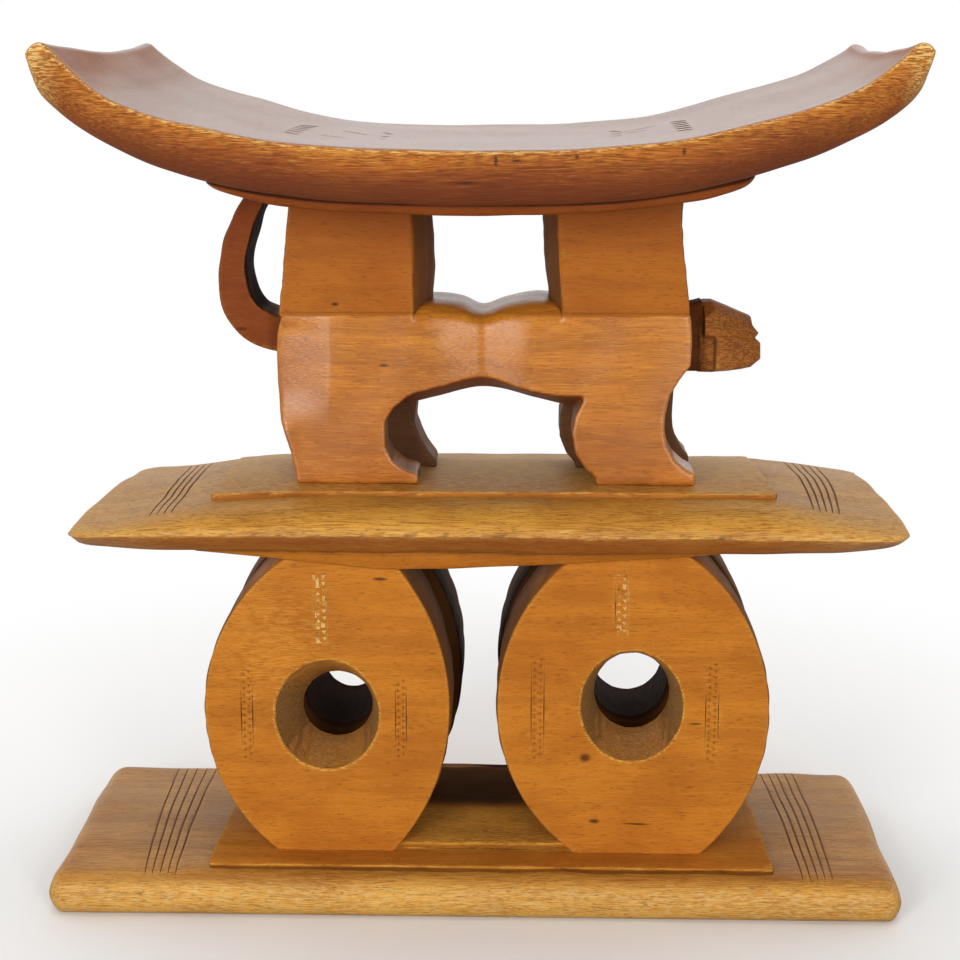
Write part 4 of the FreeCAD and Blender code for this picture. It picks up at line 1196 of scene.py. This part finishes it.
# the animal's body and legs: outlines from the side, half widths from above, heights in mm
animal = {
    "hind": [(-100.5, 310.5), (-103.5, 300), (-104, 291), (-104, 273), (-102, 254), (-97, 236), (-94, 220),
             (-31, 220), (-31, 226), (-38.5, 228.5), (-44, 233), (-47.5, 240), (-48, 253), (-44, 260),
             (-37, 266), (-33, 268.4), (-33, 310.5)],
    "hindFar": [(-100.5, 310.5), (-103.5, 300), (-104, 291), (-104, 273), (-102, 254), (-97, 236),
                (-94, 220), (-23, 220), (-24, 224), (-29, 231), (-32, 237), (-35, 245), (-34, 254),
                (-33, 262), (-33, 310.5)],
    "fore": [(44, 310.5), (44, 267.5), (58, 269.5), (54, 264), (50.5, 257), (49, 248), (51, 237),
             (56.5, 228.5), (61.5, 224), (62, 220), (113.3, 220), (113.3, 226.5), (108, 229),
             (102.5, 234), (98.5, 242), (97, 250), (97.2, 257), (99.5, 268), (105, 277), (110, 283.5),
             (110.3, 295), (109, 310.5)],
    "foreFar": [(44, 310.5), (44, 262), (47, 260), (43.5, 250), (43.5, 238), (47, 229), (52, 223),
                (52, 220), (113.3, 220), (113.3, 227), (110, 230), (106.5, 236), (104.5, 243), (104, 250),
                (104.2, 257), (104.5, 266), (106.5, 277), (110, 283.5), (110.3, 295), (109, 310.5)],
    "haunches": [(-103, 264), (-33, 266), (-33, 310.4), (-100.5, 310.4), (-103.5, 300), (-104, 291)],
    "chest": [(44, 266), (98.5, 266), (105, 277), (110, 283.5), (110.3, 295), (109, 310.4), (44, 310.4)],
    # how far each outline reaches along Y
    "thick": {"hind": (-34, -5.5), "hindFar": (5.5, 34), "fore": (-34, -5.5), "foreFar": (5.5, 34),
              "haunches": (-20, 20), "chest": (-20, 20)},
    # the trunk: half its width, its crown, its near edge and its keel along X
    "half": [(-104, 34), (-40, 34), (-22, 33.2), (-8, 31), (2, 28.8), (12, 31), (26, 33.4), (44, 34),
             (112, 34)],
    "crown": [(-60, 311), (-38, 313), (-25, 315), (-9, 313.5), (2, 309.2), (14, 313), (30, 316),
              (44, 314.5), (70, 311)],
    "nearEdge": [(-60, 266), (-35, 268.5), (-19, 272), (2, 276.5), (22, 271.5), (44, 267.5), (70, 268)],
    "keel": [(-60, 257), (-35, 259.5), (-22, 262.5), (3, 267.6), (30, 262.5), (46, 258.5), (70, 257)],
    "voxel": 1.15 * mm,
    "seam": 268,                          # the height where the legs meet the body
    "inner": {"hind": -21.5, "fore": 42},     # how far the legs reach towards the middle
}


def makeAnimal():
    look = animal
    half, crown, nearEdge, keel = [heights(look[k]) for k in ("half", "crown", "nearEdge", "keel")]
    blocks = []
    # each leg, and the block between the legs of each pair
    for outline, sides in look["thick"].items():
        points = np.array(look[outline], float)
        rings = [np.column_stack([points[:, 0], np.full(len(points), y), points[:, 1]]) for y in sides]
        blocks.append(loft(outline, rings))
    rings = []
    for x in np.linspace(-60, 70, 60):
        d, top, edge, bottom = [float(level(x)) for level in (half, crown, nearEdge, keel)]
        turn = np.linspace(0, math.pi, 24)
        y = d * np.sign(np.cos(turn)) * np.abs(np.cos(turn)) ** 0.45
        z = 298 + (top - 298) * np.abs(np.sin(turn)) ** 0.5
        under = np.array([(-d, edge), (-0.5 * d, bottom + 1.5), (0, bottom), (0.5 * d, bottom + 1.5),
                          (d, edge)])
        ring = np.vstack([np.column_stack([y, z]), under])
        rings.append(np.column_stack([np.full(len(ring), x), ring]))
    blocks.append(loft("trunk", rings))
    whole = blocks[0]
    bm = bmesh.new()
    for block in blocks:
        bm.from_mesh(block.data)
    bm.to_mesh(whole.data)
    bm.free()
    for block in blocks[1:]:
        bpy.data.objects.remove(block)
    skin = whole.modifiers.new("skin", "REMESH")
    skin.mode = "VOXEL"
    skin.voxel_size = look["voxel"]
    skin.use_smooth_shade = True
    relax = whole.modifiers.new("relax", "SMOOTH")
    relax.factor = 0.5
    relax.iterations = 3
    bake(whole)
    places = placesOf(whole)
    x, y, z = places.T
    # the haunch rolls away from the light towards the tail, and the trunk swells each side of the waist
    roll = np.clip((-76 - x) / 28, 0, 1) ** 1.1 * ease(z, 244, 272) * (1 - 0.45 * ease(z, 299, 310))
    places[:, 1] = y * (1 - 0.19 * roll)
    swell = np.exp(-((x + 22) / 15) ** 2) + np.exp(-((x - 30) / 15) ** 2)
    places[:, 1] += np.sign(y) * 1.0 * swell * np.exp(-((z - 292) / 12) ** 2)
    movePlaces(whole, places)
    uneven(whole, 0.25, 26, 41)
    seam = look["seam"]

    # painted shade between the legs, under the body and on the far legs; the joint line is a dark joint
    def soil(p, n):
        between = (1 - ease(np.abs(p[:, 1]), 5, 12)) * ease(seam + 2 - p[:, 2], 0, 6)
        under = (1 - ease(n[:, 2], -0.9, -0.3)) * (np.abs(p[:, 0] - 10) < 60) * 0.5
        far = ease(p[:, 1], 2, 8) * ease(seam + 4 - p[:, 2], 0, 8) * (1 - ease(n[:, 1], 0.2, 0.8)) * 0.3
        joint = 0.25 * np.exp(-((p[:, 2] - 310.2) / 0.6) ** 2) * (np.abs(p[:, 1]) > 24)
        return between * 0.6 + under + far + joint
    # the red on faces turned down is painted shade, and the lower parts are redder
    setFinish(whole, soil=soil, wear=0.35,
              blush=lambda p, n: 0.85 * (1 - ease(n[:, 2], -0.5, -0.1))
              + 0.16 * (1 - ease(p[:, 2], 235, 285)))
    divideAnimal(whole, seam, look["inner"])


def divideAnimal(whole, seam, inner):
    # one skin, cut into the body and the four legs where the solids meet, so that it flows across
    parts = {"animalBody": ("animal_body", None), "hindLegNear": ("hind_leg_near", ("hind", -1)),
             "hindLegFar": ("hind_leg_far", ("hind", 1)), "foreLegNear": ("fore_leg_near", ("fore", -1)),
             "foreLegFar": ("fore_leg_far", ("fore", 1))}
    bm = bmesh.new()
    bm.from_mesh(whole.data)
    planes = [((0, 0, seam * mm), (0, 0, 1)), ((inner["hind"] * mm, 0, 0), (1, 0, 0)),
              ((inner["fore"] * mm, 0, 0), (1, 0, 0)), ((0, 0, 0), (0, 1, 0))]
    for spot, way in planes:
        bmesh.ops.bisect_plane(bm, geom=bm.verts[:] + bm.edges[:] + bm.faces[:], plane_co=spot,
                               plane_no=way, dist=0.00001)
    bm.faces.ensure_lookup_table()
    owner = []
    for face in bm.faces:
        x, y, z = face.calc_center_median() / mm
        leg = None
        if z < seam and (x < inner["hind"] or x > inner["fore"]):
            leg = ("hind" if x < 0 else "fore", -1 if y < 0 else 1)
        owner.append(leg)
    whole = bm
    for name, (node, leg) in parts.items():
        part = whole.copy()
        part.faces.ensure_lookup_table()
        gone = [f for f, who in zip(part.faces, owner) if who != leg]
        bmesh.ops.delete(part, geom=gone, context="FACES")
        rim = [e for e in part.edges if e.is_boundary]
        filled = bmesh.ops.holes_fill(part, edges=rim, sides=0)
        bmesh.ops.triangulate(part, faces=filled["faces"])
        mesh = bpy.data.meshes.new(name)
        part.to_mesh(mesh)
        part.free()
        piece = bpy.data.objects.new(name, mesh)
        scene.collection.objects.link(piece)
        standFor(piece, honeyWood, node, sharp=50)
    whole.free()
    bpy.data.objects.remove(bpy.data.objects["hind"])


makeBaseBoard()
makeStepPlate()
makeCenterPad()
print("base done")
makeMiddleBoard()
makeTopPlate()
makeMiddleUnderPlate()
print("middle board done")
makeDisc("discFrontLeft", "disc_front_left", "left", False, 51)
makeDisc("discFrontRight", "disc_front_right", "right", False, 52)
makeDisc("discRearLeft", "disc_rear_left", "left", True, 53)
makeDisc("discRearRight", "disc_rear_right", "right", True, 54)
print("discs done")
makeAnimal()
makeTail()
makeHead()
makeNeck()
print("animal done")
makePillar("pillarLeft", "pillar_left", "left")
makePillar("pillarRight", "pillar_right", "right")
makeSeatBoard()
makeSeatUnderPlate()
print("seat done")


# floor, light and camera
studio = {
    "floor": "#fbfaf8", "bounce": "#848280", "backdrop": 1.0, "room": 0.17,
    "softboxes": (   # place, width, height and power in watts
        ((-0.8, -1.47, 0.5), 0.56, 1.1, 17), ((0.68, -1.52, 0.5), 0.38, 1.1, 12),
        ((0.0, 0.2, 1.9), 1.4, 1.4, 8)),
    "lookAt": (0.0, 0.0, 0.3),
}


def makeStudio():
    mesh = bpy.data.meshes.new("floor")
    mesh.from_pydata([(-30, -30, 0), (30, -30, 0), (30, 30, 0), (-30, 30, 0)], [], [(0, 1, 2, 3)])
    floor = bpy.data.objects.new("floor", mesh)
    scene.collection.objects.link(floor)
    material = bpy.data.materials.new("matt_paper")
    material.use_nodes = True
    tree = material.node_tree
    tree.nodes.clear()
    path = put(tree, "ShaderNodeLightPath").outputs
    looked = path["Is Camera Ray"]
    for other in ("Is Glossy Ray", "Is Transmission Ray"):
        looked = put(tree, "ShaderNodeMath", {0: looked, 1: path[other]}, operation="MAXIMUM")
    sheet = put(tree, "ShaderNodeMix", {0: looked, 6: linear(studio["bounce"]),
                                        7: linear(studio["floor"])}, data_type="RGBA")
    paper = put(tree, "ShaderNodeBsdfPrincipled", {"Base Color": sheet.outputs[2], "Roughness": 0.9})
    white = put(tree, "ShaderNodeEmission", {"Color": (1, 1, 1, 1), "Strength": 1.0})
    place = put(tree, "ShaderNodeTexCoord").outputs["Object"]
    away = put(tree, "ShaderNodeVectorMath", {0: place}, operation="LENGTH").outputs["Value"]
    far = put(tree, "ShaderNodeMapRange", {"Value": away, "From Min": 0.2, "From Max": 0.6},
              interpolation_type="SMOOTHSTEP")
    amount = put(tree, "ShaderNodeMath", {0: far, 1: looked}, operation="MULTIPLY")
    mix = put(tree, "ShaderNodeMixShader", {0: amount, 1: paper, 2: white})
    put(tree, "ShaderNodeOutputMaterial", {"Surface": mix})
    mesh.materials.append(material)

    world = bpy.data.worlds.new("studio")
    scene.world = world
    world.use_nodes = True
    tree = world.node_tree
    tree.nodes.clear()
    path = put(tree, "ShaderNodeLightPath").outputs
    # the pale backdrop stands behind the object, the room on the camera's side is dimmer
    toward = put(tree, "ShaderNodeSeparateXYZ", {0: put(tree, "ShaderNodeTexCoord").outputs["Generated"]})
    behind = put(tree, "ShaderNodeMapRange", {
        "Value": toward.outputs["Y"], "From Min": -0.5, "From Max": 0.4}, interpolation_type="SMOOTHSTEP")
    level = put(tree, "ShaderNodeMapRange", {"Value": behind, "To Min": studio["room"],
                                             "To Max": studio["backdrop"]})
    # a glossy or clear surface shows the backdrop too, where it mirrors that side
    looked = put(tree, "ShaderNodeMath", {0: path["Is Glossy Ray"], 1: path["Is Transmission Ray"]},
                 operation="MAXIMUM")
    looked = put(tree, "ShaderNodeMath", {0: looked, 1: behind}, operation="MULTIPLY")
    looked = put(tree, "ShaderNodeMath", {0: looked, 1: path["Is Camera Ray"]}, operation="MAXIMUM")
    room = put(tree, "ShaderNodeBackground", {"Color": (1, 1, 1, 1), "Strength": level})
    paper = put(tree, "ShaderNodeBackground", {"Color": (1, 1, 1, 1), "Strength": 1.0})
    mix = put(tree, "ShaderNodeMixShader", {0: looked, 1: room, 2: paper})
    put(tree, "ShaderNodeOutputWorld", {"Surface": mix})

    aim = Vector(studio["lookAt"])
    for i, (spot, width, height, power) in enumerate(studio["softboxes"]):
        light = bpy.data.lights.new("softbox%d" % (i + 1), "AREA")
        light.shape = "RECTANGLE"
        light.size = width
        light.size_y = height
        light.energy = power
        lamp = bpy.data.objects.new(light.name, light)
        lamp.location = spot
        lamp.rotation_euler = (aim - Vector(spot)).to_track_quat("-Z", "Y").to_euler()
        scene.collection.objects.link(lamp)


# the photographer stood about 0.93 m away, a little right of the middle, and looked slightly down
view = {"place": (0.0238, -0.9346, 0.444), "down": 10.69, "left": 1.42, "lens": 66.75, "shift": -0.10}


def makeCamera():
    camera = bpy.data.cameras.new("view")
    camera.lens = view["lens"]
    camera.sensor_width = 36
    camera.shift_y = view["shift"]
    camera.clip_start = 0.01
    eye = bpy.data.objects.new("view", camera)
    eye.location = view["place"]
    eye.rotation_euler = (math.radians(90 - view["down"]), 0, math.radians(view["left"]))
    scene.collection.objects.link(eye)
    scene.camera = eye


makeStudio()
makeCamera()
scene.view_settings.view_transform = "Standard"
print("studio done")
